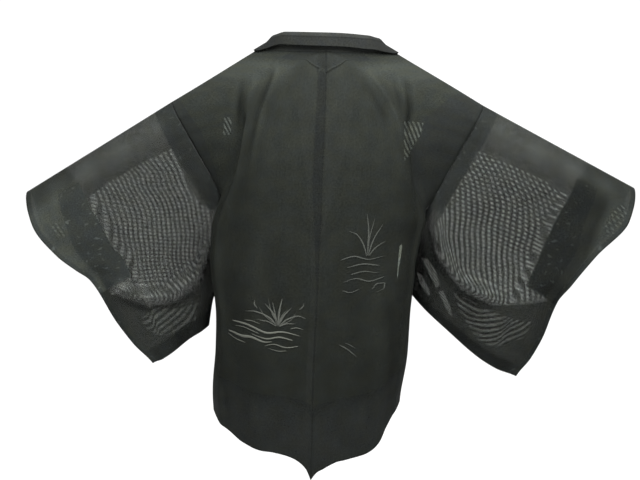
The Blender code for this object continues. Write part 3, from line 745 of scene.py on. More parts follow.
class BodyForm:
    """The shape of the two body panels, each one length of cloth from back hem to front hem."""

    def neck_line(self, side: Side, up: Array) -> Array:
        """Points of the neck opening's edge, which crosses the nape level and without a corner.

        A smooth curve runs through the sections' centre edges and one of the other side.

        Args:
            side: The wearer's side.
            up: The lengths from the back hem.

        Returns:
            The points.
        """
        rows = [r for r in SECTIONS if r.up >= NAPE_UP]
        opposite = rows[1]
        knots = [2 * NAPE_UP - opposite.up] + [r.up for r in rows]
        points = [(-side.value * opposite.in_x, opposite.in_y, opposite.in_z)]
        points += [(side.value * r.in_x, r.in_y, r.in_z) for r in rows]
        return glide(knots, points, up)

    def controls(self, side: Side, up: Array) -> Array:
        """The five control points of each half section.

        Args:
            side: The wearer's side.
            up: The lengths from the back hem.

        Returns:
            Points, by up, by control, by 3.
        """
        sleeve = SLEEVES[side]
        table, hanging = [], []
        for r in SECTIONS:
            face = Face.BACK if r.up < SHOULDER_UP else Face.FRONT
            free = len(r.edge) == 3
            out = np.array(r.edge) * [side.value, 1, 1] if free else sleeve.armhole(np.array(r.edge[0]), face)
            xs = np.array([r.in_x, r.blade_x, r.crest_x, r.tuck_x])
            ys = np.array([r.in_y, r.blade_y, r.crest_y, r.tuck_y])
            share = np.clip((xs - r.in_x) / max(abs(out[0]) - r.in_x, 0.02), 0.0, 1.0)
            zs = r.in_z + (out[2] - r.in_z) * share ** (HEM_BEND if free else 1.0)
            points = np.concatenate([np.stack([side.value * xs, ys, zs], axis=1), out[None]])
            if free:
                near_hem = ease((-0.35 - points[:, 2]) / 0.35)
                points[:, 2] += HEM_SIDE_LIFT[side] * near_hem * np.append(share, 1.0) ** HEM_BEND
            table.append(points)
            hanging.append([1.0, 1.0, 1.0, 1.0, float(free)])
        knots = [r.up for r in SECTIONS]
        points = glide(knots, table, up)
        points[up > NAPE_UP, 0] = self.neck_line(side, up[up > NAPE_UP])
        outward = ease(np.abs(points[..., 0]) / 0.15)
        heights, centre, beside = zip(*SWAY)
        shift = [glide(heights, shifts, points[..., 2]) for shifts in (centre, beside)]
        points[..., 0] += (shift[0] * (1 - outward) + shift[1] * outward) * glide(knots, hanging, up)
        near_neck = bell(up, SHOULDER_UP, 0.10)[:, None]
        towards_neck = 1 - ease(np.abs(points[:, :4, 0]) / 0.25)
        points[:, :4, 2] += NECK_TILT * near_neck * points[:, :4, 0] * towards_neck
        return points

    def fold_lift(self, side: Side, across: Array, up: Array) -> Array:
        """How far the long folds stand out: bells across the panel, changing evenly down its length.

        Args:
            side: The wearer's side.
            across: The places across the panel.
            up: The lengths from the back hem.

        Returns:
            The heights, by up and across.
        """
        share, height = across[None, :] / 4, up[:, None]
        on_back = 1 - ease((height - 0.60) / 0.18)
        on_front = ease((height - 1.06) / 0.14)
        low_back = 1 - np.clip(height / 0.68, 0, 1)
        low_front = 1 - np.clip((FRONT_HEM_UP - height) / 0.68, 0, 1)
        lift = np.zeros((len(up), len(across)))
        last, fade = FOLDS_END
        for fold in (fold for fold in LONG_FOLDS if fold.side is side):
            shape = bell(share, fold.across, fold.width) * ease((last - share) / fade)
            back, front = (fold.at_yoke + (fold.at_hem - fold.at_yoke) * low for low in (low_back, low_front))
            lift += shape * (back * on_back + front * on_front)
        return lift

    def surface(self, side: Side, across: Array, up: Array, creased: bool = True) -> Array:
        """Points of a half body.

        A Catmull-Rom curve runs through the control points of each section. The folds and creases
        move it along Y, and the hem's point pulls it down near the seam at the centre.

        Args:
            side: The wearer's side.
            across: From 0 at the centre to 4 at the side edge, one for each span between controls.
            up: The lengths from the back hem, over the shoulder, to the front hem.
            creased: Whether the small creases are on it.

        Returns:
            Points, by up, by across, by 3.
        """
        p = self.controls(side, up)
        mirrored = p[:, 1].copy()
        mirrored[:, 0] = 2 * p[:, 0, 0] - mirrored[:, 0]
        past_nape = ease((up - NAPE_UP) / 0.06)[:, None]
        before = mirrored * (1 - past_nape) + (2 * p[:, 0] - p[:, 1]) * past_nape
        p = np.concatenate([before[:, None], p, (2 * p[:, 4] - p[:, 3])[:, None]], axis=1)
        cell = np.clip(np.floor(across).astype(int), 0, 3)
        t = (across - cell)[None, :, None]
        a, b, c, d = (p[:, cell + k] for k in range(4))
        cubic = (2 * a - 5 * b + 4 * c - d) * t**2 + (3 * b - a - 3 * c + d) * t**3
        points = 0.5 * (2 * b + (c - a) * t + cubic)
        outward = np.where(up < SHOULDER_UP, 1.0, -1.0)[:, None]
        points[..., 1] += outward * self.fold_lift(side, across, up)
        if creased:
            free = ease((3.6 - across) / 0.8)[None] * ease(np.abs(up - SHOULDER_UP) / 0.05)[:, None]
            for crease in CREASES:
                here = (outward * crease.face.value > 0) * free
                points[..., 1] += outward * here * crease.relief(points[..., 0], points[..., 2])
        fade = np.maximum(1 - up / HEM_POINT_FADE, 0.0) ** 1.5
        point = glide_rows(HEM_TRIM[side], across) - HEM_POINT_DROP * np.exp(-across / 4 / HEM_POINT_WIDTH)
        points[..., 2] += fade[:, None] * point[None]
        return points


BODY = BodyForm()


@dataclass
class PanelMap:
    """Finds points of a worn body panel from places on the flat cloth.

    Attributes:
        side: The wearer's side.
        columns, rows: The places across and the lengths from the back hem in its table.
    """

    side: Side
    columns: Array = field(default_factory=lambda: np.linspace(0.0, 4.0, 201))
    rows: Array = field(default_factory=lambda: np.linspace(0.0, FRONT_HEM_UP, 851))

    def __post_init__(self) -> None:
        """Works out the grid of points and the directions across the cloth."""
        self.grid = BODY.surface(self.side, self.columns, self.rows)
        self.outward = -grid_normals(self.grid) * self.side.value

    def read(self, table: Array, across: Array, up: Array) -> Array:
        """Reads a grid table between its entries, by straight lines in both directions.

        Args:
            table: One row of values for each point of the grid.
            across: The places across the panel.
            up: The lengths from the back hem.

        Returns:
            The values there.
        """
        j = np.clip(across / self.columns[1], 0, len(self.columns) - 1.001)
        i = np.clip(up / self.rows[1], 0, len(self.rows) - 1.001)
        j0, i0 = j.astype(int), i.astype(int)
        s, t = (j - j0)[..., None], (i - i0)[..., None]
        low = table[i0, j0] * (1 - s) + table[i0, j0 + 1] * s
        high = table[i0 + 1, j0] * (1 - s) + table[i0 + 1, j0 + 1] * s
        return low * (1 - t) + high * t

    def lifted(self, across: Array, up: Array, height: float) -> Array:
        """Points at a height above the cloth's middle, outwards."""
        return self.read(self.grid, across, up) + self.read(self.outward, across, up) * height


# --- Finishes ---


@dataclass(frozen=True)
class Grain:
    """Noise over the flat cut piece, read as a soft step between two values.

    Attributes:
        across, along: How fine it is both ways, in grains for each metre.
        detail: How many finer layers it has.
        start, end: The noise up to which it gives low, and that from which it gives high.
        low, high: The lowest and the highest value.
    """

    across: float
    along: float
    detail: float
    start: float
    end: float
    low: float
    high: float


class Graph:
    """Builds a material's nodes, one small step at a time."""

    def __init__(self, name: str) -> None:
        """Starts a material with its own shader."""
        self.material = bpy.data.materials.new(name)
        self.material.use_nodes = True
        self.tree = self.material.node_tree
        self.shader = self.tree.nodes["Principled BSDF"]

    def node(self, kind: str, given: dict[int | str, Value], **settings: str) -> bpy.types.Node:
        """Adds a node.

        Args:
            kind: Its type, without the word ShaderNode.
            given: A socket to link or a plain value for each of its inputs.
            settings: Its other settings.

        Returns:
            The node.
        """
        node = self.tree.nodes.new(f"ShaderNode{kind}")
        for key, value in settings.items():
            setattr(node, key, value)
        for key, value in given.items():
            self.put(value, node.inputs[key])
        return node

    def put(self, value: Value, socket: Socket) -> None:
        """Links a socket, or sets a plain value.

        Args:
            value: What is linked or set.
            socket: The input that takes it.
        """
        if isinstance(value, bpy.types.NodeSocket):
            self.tree.links.new(value, socket)
        elif isinstance(value, tuple):
            socket.default_value = (*value, 1.0)[: len(socket.default_value)]
        else:
            socket.default_value = value

    def field(self, name: str) -> Socket:
        """The value of one of the cloth's fields."""
        return self.node("Attribute", {}, attribute_name=name).outputs["Fac"]

    def sum(self, kind: str, *values: Socket | float) -> Socket:
        """One step of arithmetic, named as the Math node names it."""
        return self.node("Math", dict(enumerate(values)), operation=kind).outputs[0]

    def times(self, first: Socket, *others: Socket | float) -> Socket:
        """The product of several values."""
        for other in others:
            first = self.sum("MULTIPLY", first, other)
        return first

    def step(self, *values: Socket | float) -> Socket:
        """A soft step of a value, from start to end: low below start, high above end."""
        return self.node("MapRange", dict(enumerate(values)), interpolation_type="SMOOTHSTEP").outputs[0]

    def blend(self, share: Socket, first: Socket | Colour, second: Socket | Colour) -> Socket:
        """A mix of two colours."""
        return self.node("Mix", {0: share, 6: first, 7: second}, data_type="RGBA").outputs[2]

    def lean(self, share: Socket, value: Socket, low: float, high: float) -> Socket:
        """1 where share is 0, and low to high by value where share is 1."""
        swing = self.sum("MULTIPLY_ADD", value, high - low, low - 1.0)
        return self.sum("MULTIPLY_ADD", share, swing, 1.0)

    def tint(self, colour: Socket, by: Socket) -> Socket:
        """A colour times another colour, or times a number."""
        return self.node("VectorMath", {0: colour, 1: by}, operation="MULTIPLY").outputs[0]

    def cut(self) -> Socket:
        """The place on the flat cut piece, in metres."""
        return self.node("UVMap", {}, uv_map="cut").outputs[0]

    def grain(self, kind: Grain) -> Socket:
        """Noise over the flat cut piece."""
        sized = self.node("Mapping", {0: self.cut(), "Scale": (kind.across, kind.along, 1.0)})
        noise = self.node("TexNoise", {"Vector": sized.outputs[0], "Scale": 1.0, "Detail": kind.detail})
        return self.step(noise.outputs[0], kind.start, kind.end, kind.low, kind.high)

    def cut_axis(self, axis: str) -> Socket:
        """The place across (X) or along (Y) the flat cut piece, in metres."""
        return self.node("SeparateXYZ", {0: self.cut()}).outputs[axis]

    def relief(self, height: Socket, strength: float, distance: float) -> None:
        """Gives the shader a fine relief."""
        bump = self.node("Bump", {"Strength": strength, "Distance": distance, "Height": height})
        self.put(bump.outputs[0], self.shader.inputs["Normal"])


@dataclass(frozen=True)
class SheerWeave:
    """Thin black weave that lets some light pass, less where it lies double.

    It reads these fields of the cloth: clear, the share of light that passes the wall; tone, how
    bright the threads are, painted light and painted shade included; lap, the distance in metres to
    the edge of doubled cloth, positive inside it; pane, the same for the parts with watered lines;
    clear_more, what a pane adds to clear; tone_more, the painted light that a pane adds to
    tone; rim, how much the edge of doubled cloth shows a painted highlight line with a painted shade
    line outside it; water, how strong the watered lines are; swing_a and swing_b, the phases of the
    two families of lines; and weft, how much the second family breaks up the first.

    Attributes:
        name: The material's name.
        threads: The colour of single cloth.
        doubled_threads: The colour of doubled cloth.
        doubled_clear: The share of the light through single cloth that doubled cloth passes.
        roughness: How rough the threads are.
        specks: How much brighter the specks of doubled cloth are.
    """

    name: str
    threads: Colour
    doubled_threads: Colour
    doubled_clear: float
    roughness: float
    specks: float

    # The two tints between which the cloth's colour drifts, and the patches of that drift
    WARM = (1.03, 1.01, 0.96)
    COOL = (0.98, 0.99, 1.04)
    DRIFT = Grain(46.0, 38.0, 3.0, 0.35, 0.65, 0.0, 1.0)
    SPECKS = (75.0, 120.0, 1.5, 0.63, 0.70, 0.0)
    # Where the watered lines are weak, where the cloth is thin, and three sizes of uneven thread
    PATCHY = Grain(30.0, 24.0, 2.0, 0.25, 0.70, 0.65, 1.0)
    THIN = Grain(95.0, 70.0, 4.0, 0.30, 0.70, 0.72, 1.28)
    STREAKS = Grain(420.0, 14.0, 3.0, 0.2, 0.8, 0.965, 1.035)
    MOTTLE = Grain(26.0, 18.0, 5.0, 0.28, 0.72, 0.88, 1.12)
    YARN = Grain(360.0, 330.0, 2.0, 0.25, 0.75, 0.78, 1.22)
    # Half the width of the soft edge of a pane and of doubled cloth, in metres
    EDGE = 0.0006
    # The sine below which a watered line is dark, and that above which it is bright
    FLATTENED = (-0.75, 0.95, 0.0, 1.0)
    # What the darkest and the brightest line make of the light that passes and of the threads; on the threads
    # they are painted light
    PASSING_SWING = (0.40, 2.3)
    PAINTED_THREAD_SWING = (0.50, 2.9)
    # The painted highlight line inside a rim and the painted shade line outside it: the place of each,
    # and then full up to, none from, and how bright
    HIGHLIGHT_INSIDE = 0.0003
    SHADE_OUTSIDE = 0.0016
    RIM_HIGHLIGHT = (0.0003, 0.0012, 1.3, 1.0)
    RIM_SHADE = (0.0003, 0.0022, 0.50, 1.0)
    # The distance between threads, and the strength and height of their relief
    THREAD_PITCH = 0.0016
    THREAD_RELIEF = (0.25, 0.00012)
    GLOSS = 0.04
    LEAST_PASSING = 0.0001

    def watered(self, g: Graph) -> Socket:
        """The watered lines, from 0 to 1.

        They are the sine of the first phase, with its tops and bottoms flattened, less a share of
        it where the same sine of the second phase is low.

        Args:
            g: The material's graph.

        Returns:
            The socket.
        """
        swings = (g.sum("SINE", g.field(name)) for name in ("swing_a", "swing_b"))
        first, second = (g.step(swing, *self.FLATTENED) for swing in swings)
        gaps = g.times(g.field("weft"), g.sum("SUBTRACT", 1.0, second))
        return g.times(first, g.sum("SUBTRACT", 1.0, gaps))

    def rim(self, g: Graph) -> Socket:
        """A painted highlight line on the edge of doubled cloth, and a painted shade line outside it.

        Args:
            g: The material's graph.

        Returns:
            How much brighter the threads are, as a socket.
        """
        from_line = g.sum("ABSOLUTE", g.sum("SUBTRACT", g.field("lap"), self.HIGHLIGHT_INSIDE))
        from_shade_line = g.sum("ABSOLUTE", g.sum("ADD", g.field("lap"), self.SHADE_OUTSIDE))
        edge, shade_line = g.step(from_line, *self.RIM_HIGHLIGHT), g.step(from_shade_line, *self.RIM_SHADE)
        return g.lean(g.field("rim"), g.times(edge, shade_line), 0.0, 1.0)

    def build(self) -> bpy.types.Material:
        """Makes the material.

        The watered lines brighten the light that passes and, as painted light, the threads. A wall
        has two surfaces, so each passes the square root of the wall's share.

        Returns:
            The material.
        """
        g = Graph(self.name)
        doubled, pane = (g.step(g.field(name), -self.EDGE, self.EDGE, 0.0, 1.0) for name in ("lap", "pane"))
        lines = self.watered(g)
        water = g.times(g.field("water"), pane, g.sum("SUBTRACT", 1.0, doubled), g.grain(self.PATCHY))
        share = g.sum("MULTIPLY_ADD", doubled, self.doubled_clear - 1.0, 1.0)
        clear = g.sum("MULTIPLY_ADD", pane, g.field("clear_more"), g.field("clear"))
        passing = g.times(clear, share, g.lean(water, lines, *self.PASSING_SWING), g.grain(self.THIN))
        surface = g.sum("SQRT", g.sum("MAXIMUM", passing, self.LEAST_PASSING))
        g.put(g.sum("SUBTRACT", 1.0, surface), g.shader.inputs["Alpha"])
        tone = g.sum("MULTIPLY_ADD", pane, g.field("tone_more"), g.field("tone"))
        lit = g.times(tone, *(g.grain(kind) for kind in (self.STREAKS, self.MOTTLE, self.YARN)))
        specks = g.times(doubled, g.grain(Grain(*self.SPECKS, self.specks)))
        lit = g.times(lit, g.lean(water, lines, *self.PAINTED_THREAD_SWING), g.sum("ADD", specks, 1.0), self.rim(g))
        colour = g.blend(doubled, self.threads, self.doubled_threads)
        colour = g.tint(colour, g.blend(g.grain(self.DRIFT), self.WARM, self.COOL))
        g.put(g.tint(colour, lit), g.shader.inputs["Base Color"])
        g.put(self.roughness, g.shader.inputs["Roughness"])
        g.put(self.GLOSS, g.shader.inputs["Specular IOR Level"])
        threads = g.sum("SINE", g.sum("MULTIPLY", g.cut_axis("Y"), 2 * math.pi / self.THREAD_PITCH))
        g.relief(threads, *self.THREAD_RELIEF)
        return g.material


@dataclass(frozen=True)
class Plain:
    """An even, matt finish."""

    name: str
    colour: Colour
    roughness: float
    clear: float = 0.0

    def build(self) -> bpy.types.Material:
        """Makes the material.

        Returns:
            The material.
        """
        g = Graph(self.name)
        g.put(self.colour, g.shader.inputs["Base Color"])
        g.put(self.roughness, g.shader.inputs["Roughness"])
        g.put(1.0 - self.clear, g.shader.inputs["Alpha"])
        return g.material


BODY_WEAVE = SheerWeave(
    "body_weave", (0.0115, 0.0129, 0.0109), (0.0098, 0.0110, 0.0100), 0.35, 0.90, 0.12
)
SLEEVE_WEAVE = SheerWeave(
    "sleeve_weave", (0.0128, 0.0143, 0.0124), (0.0098, 0.0111, 0.0102), 0.20, 0.90, 0.85
)
COLLAR_WEAVE = SheerWeave(
    "collar_weave", (0.0100, 0.0108, 0.0100), (0.0100, 0.0108, 0.0100), 0.30, 0.85, 0.0
)
CREAM_YARN = Plain("cream_yarn", (0.090, 0.095, 0.078), 0.8, 0.2)
GREY_YARN = Plain("grey_yarn", (0.056, 0.060, 0.050), 0.8, 0.2)
FAINT_YARN = Plain("faint_yarn", (0.034, 0.038, 0.031), 0.8, 0.2)
FLOOR_PAINT = Plain("floor_paint", (0.93, 0.93, 0.93), 0.9)


# The outlines of the panes with watered lines: share across, distance down over the cloth
LEFT_WINDOW = (
    (0.105, 0.097), (0.30, 0.092), (0.50, 0.092), (0.665, 0.098), (0.68, 0.160), (0.725, 0.220),
    (0.735, 0.285), (0.90, 0.283), (0.93, 0.296), (0.85, 0.318), (0.69, 0.360), (0.435, 0.388),
    (0.185, 0.386), (0.10, 0.345), (0.045, 0.300), (0.08, 0.257), (0.14, 0.211), (0.13, 0.154),
)
LEFT_LOW_PANE = (
    (0.205, 0.412), (0.45, 0.400), (0.66, 0.372), (0.80, 0.378), (0.795, 0.404), (0.675, 0.434),
    (0.45, 0.445), (0.215, 0.447),
)
RIGHT_WINDOW = (
    (0.075, 0.102), (0.25, 0.094), (0.45, 0.094), (0.63, 0.099), (0.645, 0.113), (0.705, 0.180),
    (0.765, 0.245), (0.78, 0.260), (0.90, 0.257), (0.94, 0.266), (0.84, 0.292), (0.62, 0.344),
    (0.42, 0.356), (0.23, 0.323), (0.07, 0.268), (0.10, 0.240), (0.09, 0.200), (0.09, 0.150),
)
RIGHT_LOW_PANE = (
    (0.36, 0.368), (0.60, 0.358), (0.765, 0.346), (0.90, 0.330), (0.88, 0.375), (0.795, 0.405),
    (0.70, 0.430), (0.60, 0.436), (0.43, 0.400),
)
# The outlines of the small panes under the arms: X and Z
LEFT_PATCH = ((0.184, -0.126), (0.170, -0.129), (0.173, -0.160), (0.187, -0.160))
RIGHT_PATCH = ((-0.139, -0.134), (-0.176, -0.138), (-0.170, -0.161), (-0.146, -0.196), (-0.138, -0.203))
# The outline of the narrow bright pane beside the right side seam: place across, length up
RIGHT_SLIT = (
    (1.68, 0.452), (1.75, 0.448), (1.76, 0.415), (1.73, 0.390), (1.69, 0.366), (1.68, 0.370), (1.705, 0.398),
)


# --- Watered lines ---


@dataclass(frozen=True)
class Watering:
    """How the two families of watered lines run.

    Attributes:
        pitches: The distance between lines of the first family, high up and low down.
        centre: The X about which that distance changes.
        lean: How far the first family leans low down, as metres of X for each metre of Z.
        more_lean: How much further it leans high up.
        turn: The Z about which the lean changes.
        cross_pitch: The distance between lines of the second family.
        cross_rise: How much the second family rises, as metres of Z for each metre of X.
        crossing: How much the second family breaks up the first, above the fold at the hand's side
            and below it at the body's side.
        strength: How strong the lines are.
        bend: Where the lines make an S, and how far they swing there: X, Z and the swing.
        rings: The middle of the rings that the lines make below the fold, and their distance: X, Z
            and the distance.
    """

    pitches: tuple[float, float]
    centre: float
    lean: float
    more_lean: float
    turn: float
    cross_pitch: float
    cross_rise: float
    crossing: tuple[float, float]
    strength: float = 1.0
    bend: tuple[float, float, float] = (0.0, 0.0, 0.0)
    rings: tuple[float, float, float] = (0.0, 0.0, 1.0)

    # The first slow wave: height, turns with Z, how far it sways, and the sway's turns with X
    SWAYING = (0.0030, 38.0, 2.0, 9.0)
    # The slow waves that bend each family, as waver reads them
    WANDER = ((0.0040, -15.0, 19.0, 0.6), (0.0009, 31.0, 95.0, 1.7))
    CROSS_WANDER = ((0.0030, 33.0, 11.0, 0.0), (0.0014, 71.0, -29.0, 2.1))
    RING_WANDER = ((0.0016, 60.0, -41.0, 0.0), (0.0008, 87.0, 130.0, 0.0))
    # The height over which the lean changes, and the Z above which the pitch does and for how far
    TURN_HEIGHT = 0.03
    PITCH_HEIGHT = (-0.40, 0.16)
    # Half the width and half the height of the S, and the height in which it turns by a radian
    BEND_SIZE = (0.045, 0.030, 0.010)

    def phases(self, points: Array) -> tuple[Array, Array]:
        """The phases of the two families.

        The first family's phase grows with X less the lean times Z. Its lean changes smoothly
        about the turn, and its pitch changes smoothly with Z. A sum of slow waves in X and Z bends
        the lines. The second family's phase grows with Z plus a share of X, bent by other waves.

        Args:
            points: The cloth's points.

        Returns:
            The two phases, in radians.
        """
        x, z = points[..., 0], points[..., 2]
        past_turn = self.TURN_HEIGHT * np.log1p(np.exp((z - self.turn) / self.TURN_HEIGHT))
        shift = self.lean * z + self.more_lean * past_turn
        height, with_z, sway, with_x = self.SWAYING
        wander = height * np.sin(with_z * z + sway * np.sin(with_x * x)) + waver(x, z, self.WANDER)
        bend_x, bend_z, swing = self.bend
        half_width, half_height, radian = self.BEND_SIZE
        near_bend = bell(x, bend_x, half_width) * bell(z, bend_z, half_height)
        wander = wander + swing * near_bend * np.sin((z - bend_z) / radian)
        (high, low), (start, rise) = self.pitches, self.PITCH_HEIGHT
        pitch = low + (high - low) * ease((z - start) / rise)
        first = phase(x - self.centre - shift + wander, pitch)
        return first, phase(z + self.cross_rise * x + waver(x, z, self.CROSS_WANDER), self.cross_pitch)

    def ring_phase(self, points: Array) -> Array:
        """The phase of the rings: the distance from their middle, bent a little, over their pitch."""
        x, z = points[..., 0], points[..., 2]
        middle_x, middle_z, pitch = self.rings
        return phase(np.hypot(x - middle_x, z - middle_z) + waver(x, z, self.RING_WANDER), pitch)


# --- Pieces ---


@dataclass
class Sleeve(CutPiece):
    """One sleeve: a bag folded at the top, sewn along the bottom and up to the hand opening.

    Attributes:
        form: Its shape.
        allowance: How wide the doubled cloth beside the armhole is.
        cuff_line: Where the facing inside the hand opening ends: distance down, share across.
        turned_line: Where the doubled part of that facing ends: distance down, share across.
        cuff_end: How far down that facing goes.
        cuff_tones: What the inner and the outer part of that facing add to the threads' tone.
        outer_start: How far past the turned line the outer part begins.
        fold_shade_tones: The painted shade below the fold: what the cloth and its pane add to the threads'
            tone there.
        gap_highlight_tone: The painted highlight of a small bright pane: what it adds to the threads' tone.
        window: The outline of the large pane: share across, distance down.
        low_pane: The outline of the pane below the fold.
        gaps: The outlines of the small bright panes between the folds.
        hand_pane: The faint pane near the hand: share across, distance down and radius.
        watering: How the watered lines run.
        free_edge, bottom_allowance, hand_edge: How wide the doubled cloth is on the free edge
            below the armhole, along the bottom and along the hand opening.
        stations: How many columns of points it has from the armhole to the hand.
        top_rows, rows: How many rows go over the arm on each wall, and how many hang below them.
    """

    form: SleeveForm
    allowance: float
    cuff_line: Rows
    turned_line: Rows
    cuff_end: float
    cuff_tones: tuple[float, float]
    outer_start: float
    fold_shade_tones: tuple[float, float]
    gap_highlight_tone: float
    window: Rows
    low_pane: Rows
    gaps: tuple[Rows, ...]
    hand_pane: tuple[float, float, float]
    watering: Watering
    free_edge: float = 0.012
    bottom_allowance: float = 0.030
    hand_edge: float = 0.010
    stations: int = 91
    top_rows: int = 16
    rows: int = 150

    # The distance down at which the facing inside the hand opening starts
    FACING_TOP = 0.060
    # The light that each wall passes, and what a pane and a small pane add to it
    BACK_CLEAR = 0.055
    FRONT_CLEAR = 0.36
    PANE_CLEAR = 0.048
    GAP_CLEAR = 0.06
    # The tone of the back wall's threads and what a pane adds to it. Both are painted light: the back wall is
    # painted brighter than the front wall's threads, and a pane brighter still, standing in for the light
    # seen through the sheer walls
    BACK_PAINTED_TONE = 1.50
    PANE_PAINTED_TONE = 0.55
    # The painted highlight along the top over the arm: its distance down, its width, and the share across of
    # a wave
    TOP_HIGHLIGHT = (0.052, 0.020)
    TOP_HIGHLIGHT_WAVE = 0.23
    # The distance between the lines of a small pane, and the rise of a fold that shifts them by one
    GAP_PITCH = 0.0080
    LOOP_RISE = 0.0065
    # How many lines the facing shifts those before it, and the width in which it does
    COMB = (1.1, 0.022)
    # The height up to which the second family is as it is low down, and over which it changes
    CROSSING_HEIGHT = (-0.43, 0.06)

    @property
    def name(self) -> str:
        """The name of the node that it dresses."""
        return f"sleeve_{self.form.side.name.lower()}"

    def distances(self) -> Array:
        """The lengths over the cloth of its rows."""
        over = np.linspace(0.0, QUARTER_TURN, self.top_rows + 1)
        return np.concatenate([over, np.linspace(QUARTER_TURN, SLEEVE_LENGTH, self.rows + 1)[1:]])

    def past(self, line: Rows, along: Array, distance: Array) -> Array:
        """The distance towards the hand from a line of distance down and share across."""
        return (along - glide_rows(line, distance)) * SLEEVE_WIDTH

    def lap(self, along: Array, distance: Array, on_back: Array) -> Array:
        """The distance into doubled cloth: at the armhole, the bottom, the hand and inside the cuff.

        Args:
            along: The share of the width from the armhole.
            distance: The length over the cloth from the folded top.
            on_back: 1 on the back wall and 0 on the front.

        Returns:
            The distance in metres, positive inside it.
        """
        out = along * SLEEVE_WIDTH
        at_armhole = np.minimum(self.allowance - out, ARMHOLE_DEPTH + TURN_EXTRA - distance)
        at_bottom = distance - (SLEEVE_LENGTH - self.bottom_allowance)
        at_hand = self.hand_edge - (SLEEVE_WIDTH - out)
        sides = (
            self.past(self.cuff_line, along, distance),
            self.cuff_end - distance,
            -self.past(self.turned_line, along, distance),
            distance - self.FACING_TOP,
        )
        turned = np.where(on_back > 0, np.min(sides, axis=0), -1.0)
        return np.max([at_armhole, self.free_edge - out, at_bottom, at_hand, turned], axis=0)

    def panes(self, along: Array, distance: Array) -> Array:
        """The distances into the large pane, the low one, the one near the hand and the small ones.

        Args:
            along: The share of the width from the armhole.
            distance: The length over the cloth from the folded top.

        Returns:
            The four distances in metres, positive inside a pane.
        """
        outlines = (self.window, self.low_pane, *self.gaps)
        window, low_pane, *gaps = (inside(along, distance, line, SLEEVE_WIDTH) for line in outlines)
        middle_along, middle_distance, radius = self.hand_pane
        away = np.hypot((along - middle_along) * SLEEVE_WIDTH, (distance - middle_distance) * 0.5)
        return np.stack([window, low_pane, radius - away, np.max(gaps, axis=0)])

    def fields(self, along: Array, distance: Array, points: Array, on_back: Array) -> dict[str, Array]:
        """What the finish reads.

        The back wall has three panes with watered lines: the large one under the arm, the one
        below the fold of the hanging cloth, and a faint one near the hand. Small bright ones lie
        between the folds, with a painted highlight on their threads. Around them it passes less light,
        least in the first part of the cuff's facing. The front wall is even. The height of the folds
        shifts the lines, so they run round each fold in loops, and below the fold they are rings about a
        point. The back wall's threads are painted brighter than the front's, more so in the panes, as
        painted light; they carry a painted highlight along the top over the arm, and painted shade beside
        the body, below the fold, just above the large pane and along the armhole seam.

        Args:
            along: The share of the width from the armhole.
            distance: The length over the cloth from the folded top.
            points: The cloth's points.
            on_back: 1 on the back wall and 0 on the front.

        Returns:
            The fields by name.
        """
        panes = self.panes(along, distance)
        window, low_pane, hand_pane, gaps = panes
        # The small bright panes between the folds: more light passes, and their threads carry a painted
        # highlight
        in_gap = ease(gaps / 0.006 + 1.0)
        near_hand = switch(hand_pane - np.maximum(window, low_pane), 0.010)
        below = switch(self.form.past_slump(along, distance), 0.008)
        # Painted shade where the sleeve hangs beside the body: darker threads, and less light passes
        shade_beside_body = (1 - ease((along - 0.08) / 0.24)) * ease((distance - 0.260) / 0.060)

        into_cuff = self.past(self.cuff_line, along, distance)
        over_end = 1 - switch(distance - self.cuff_end, 0.004)
        cuff = switch(into_cuff, 0.002) * over_end * ease((distance - 0.045) / 0.030)
        behind_cuff = ease((into_cuff - 0.018) / 0.010) * over_end
        at_hand = np.maximum(cuff, ease((along - 0.90) / 0.06))
        outer_cuff = switch(self.past(self.turned_line, along, distance) - self.outer_start, 0.020)

        inner_tone, outer_tone = self.cuff_tones
        # Painted shade below the fold of the hanging cloth, on the cloth and on its pane
        fold_shade_tone, pane_tone = self.fold_shade_tones
        # A painted highlight along the top over the arm, in patches along it
        ridge = bell(distance, *self.TOP_HIGHLIGHT) * ease(along / 0.25)
        wave = np.cos(phase(along - 0.18 + 0.8 * distance, self.TOP_HIGHLIGHT_WAVE))
        # What the threads' tone gains, in order: the painted highlight over the arm, the cuff's facing,
        # painted shade beside the body, painted shade below the fold, painted shade just above the large
        # pane, and painted shade along the armhole seam
        tones = (
            (0.60 + 0.30 * wave, ridge),
            (inner_tone + (outer_tone - inner_tone) * outer_cuff, cuff),
            (-0.70, shade_beside_body),
            (fold_shade_tone, below),
            (-0.25 * (1 - cuff), bell(distance, 0.086, 0.008)),
            (-0.22, bell(along, 0.0, 0.008)),
        )
        tone = self.BACK_PAINTED_TONE + sum(amount * share for amount, share in tones)
        # Painted light: a pane's threads are brighter, less so below the fold and near the hand
        more_tone = (self.PANE_PAINTED_TONE + (pane_tone - self.PANE_PAINTED_TONE) * below) * (1 - 0.8 * near_hand)
        back_clear = self.BACK_CLEAR * (1 - 0.45 * below) * (1 - 0.85 * at_hand) * (1 - 0.7 * shade_beside_body)
        front_clear = self.FRONT_CLEAR * (1 - 0.90 * behind_cuff) * (1 - 0.30 * below)

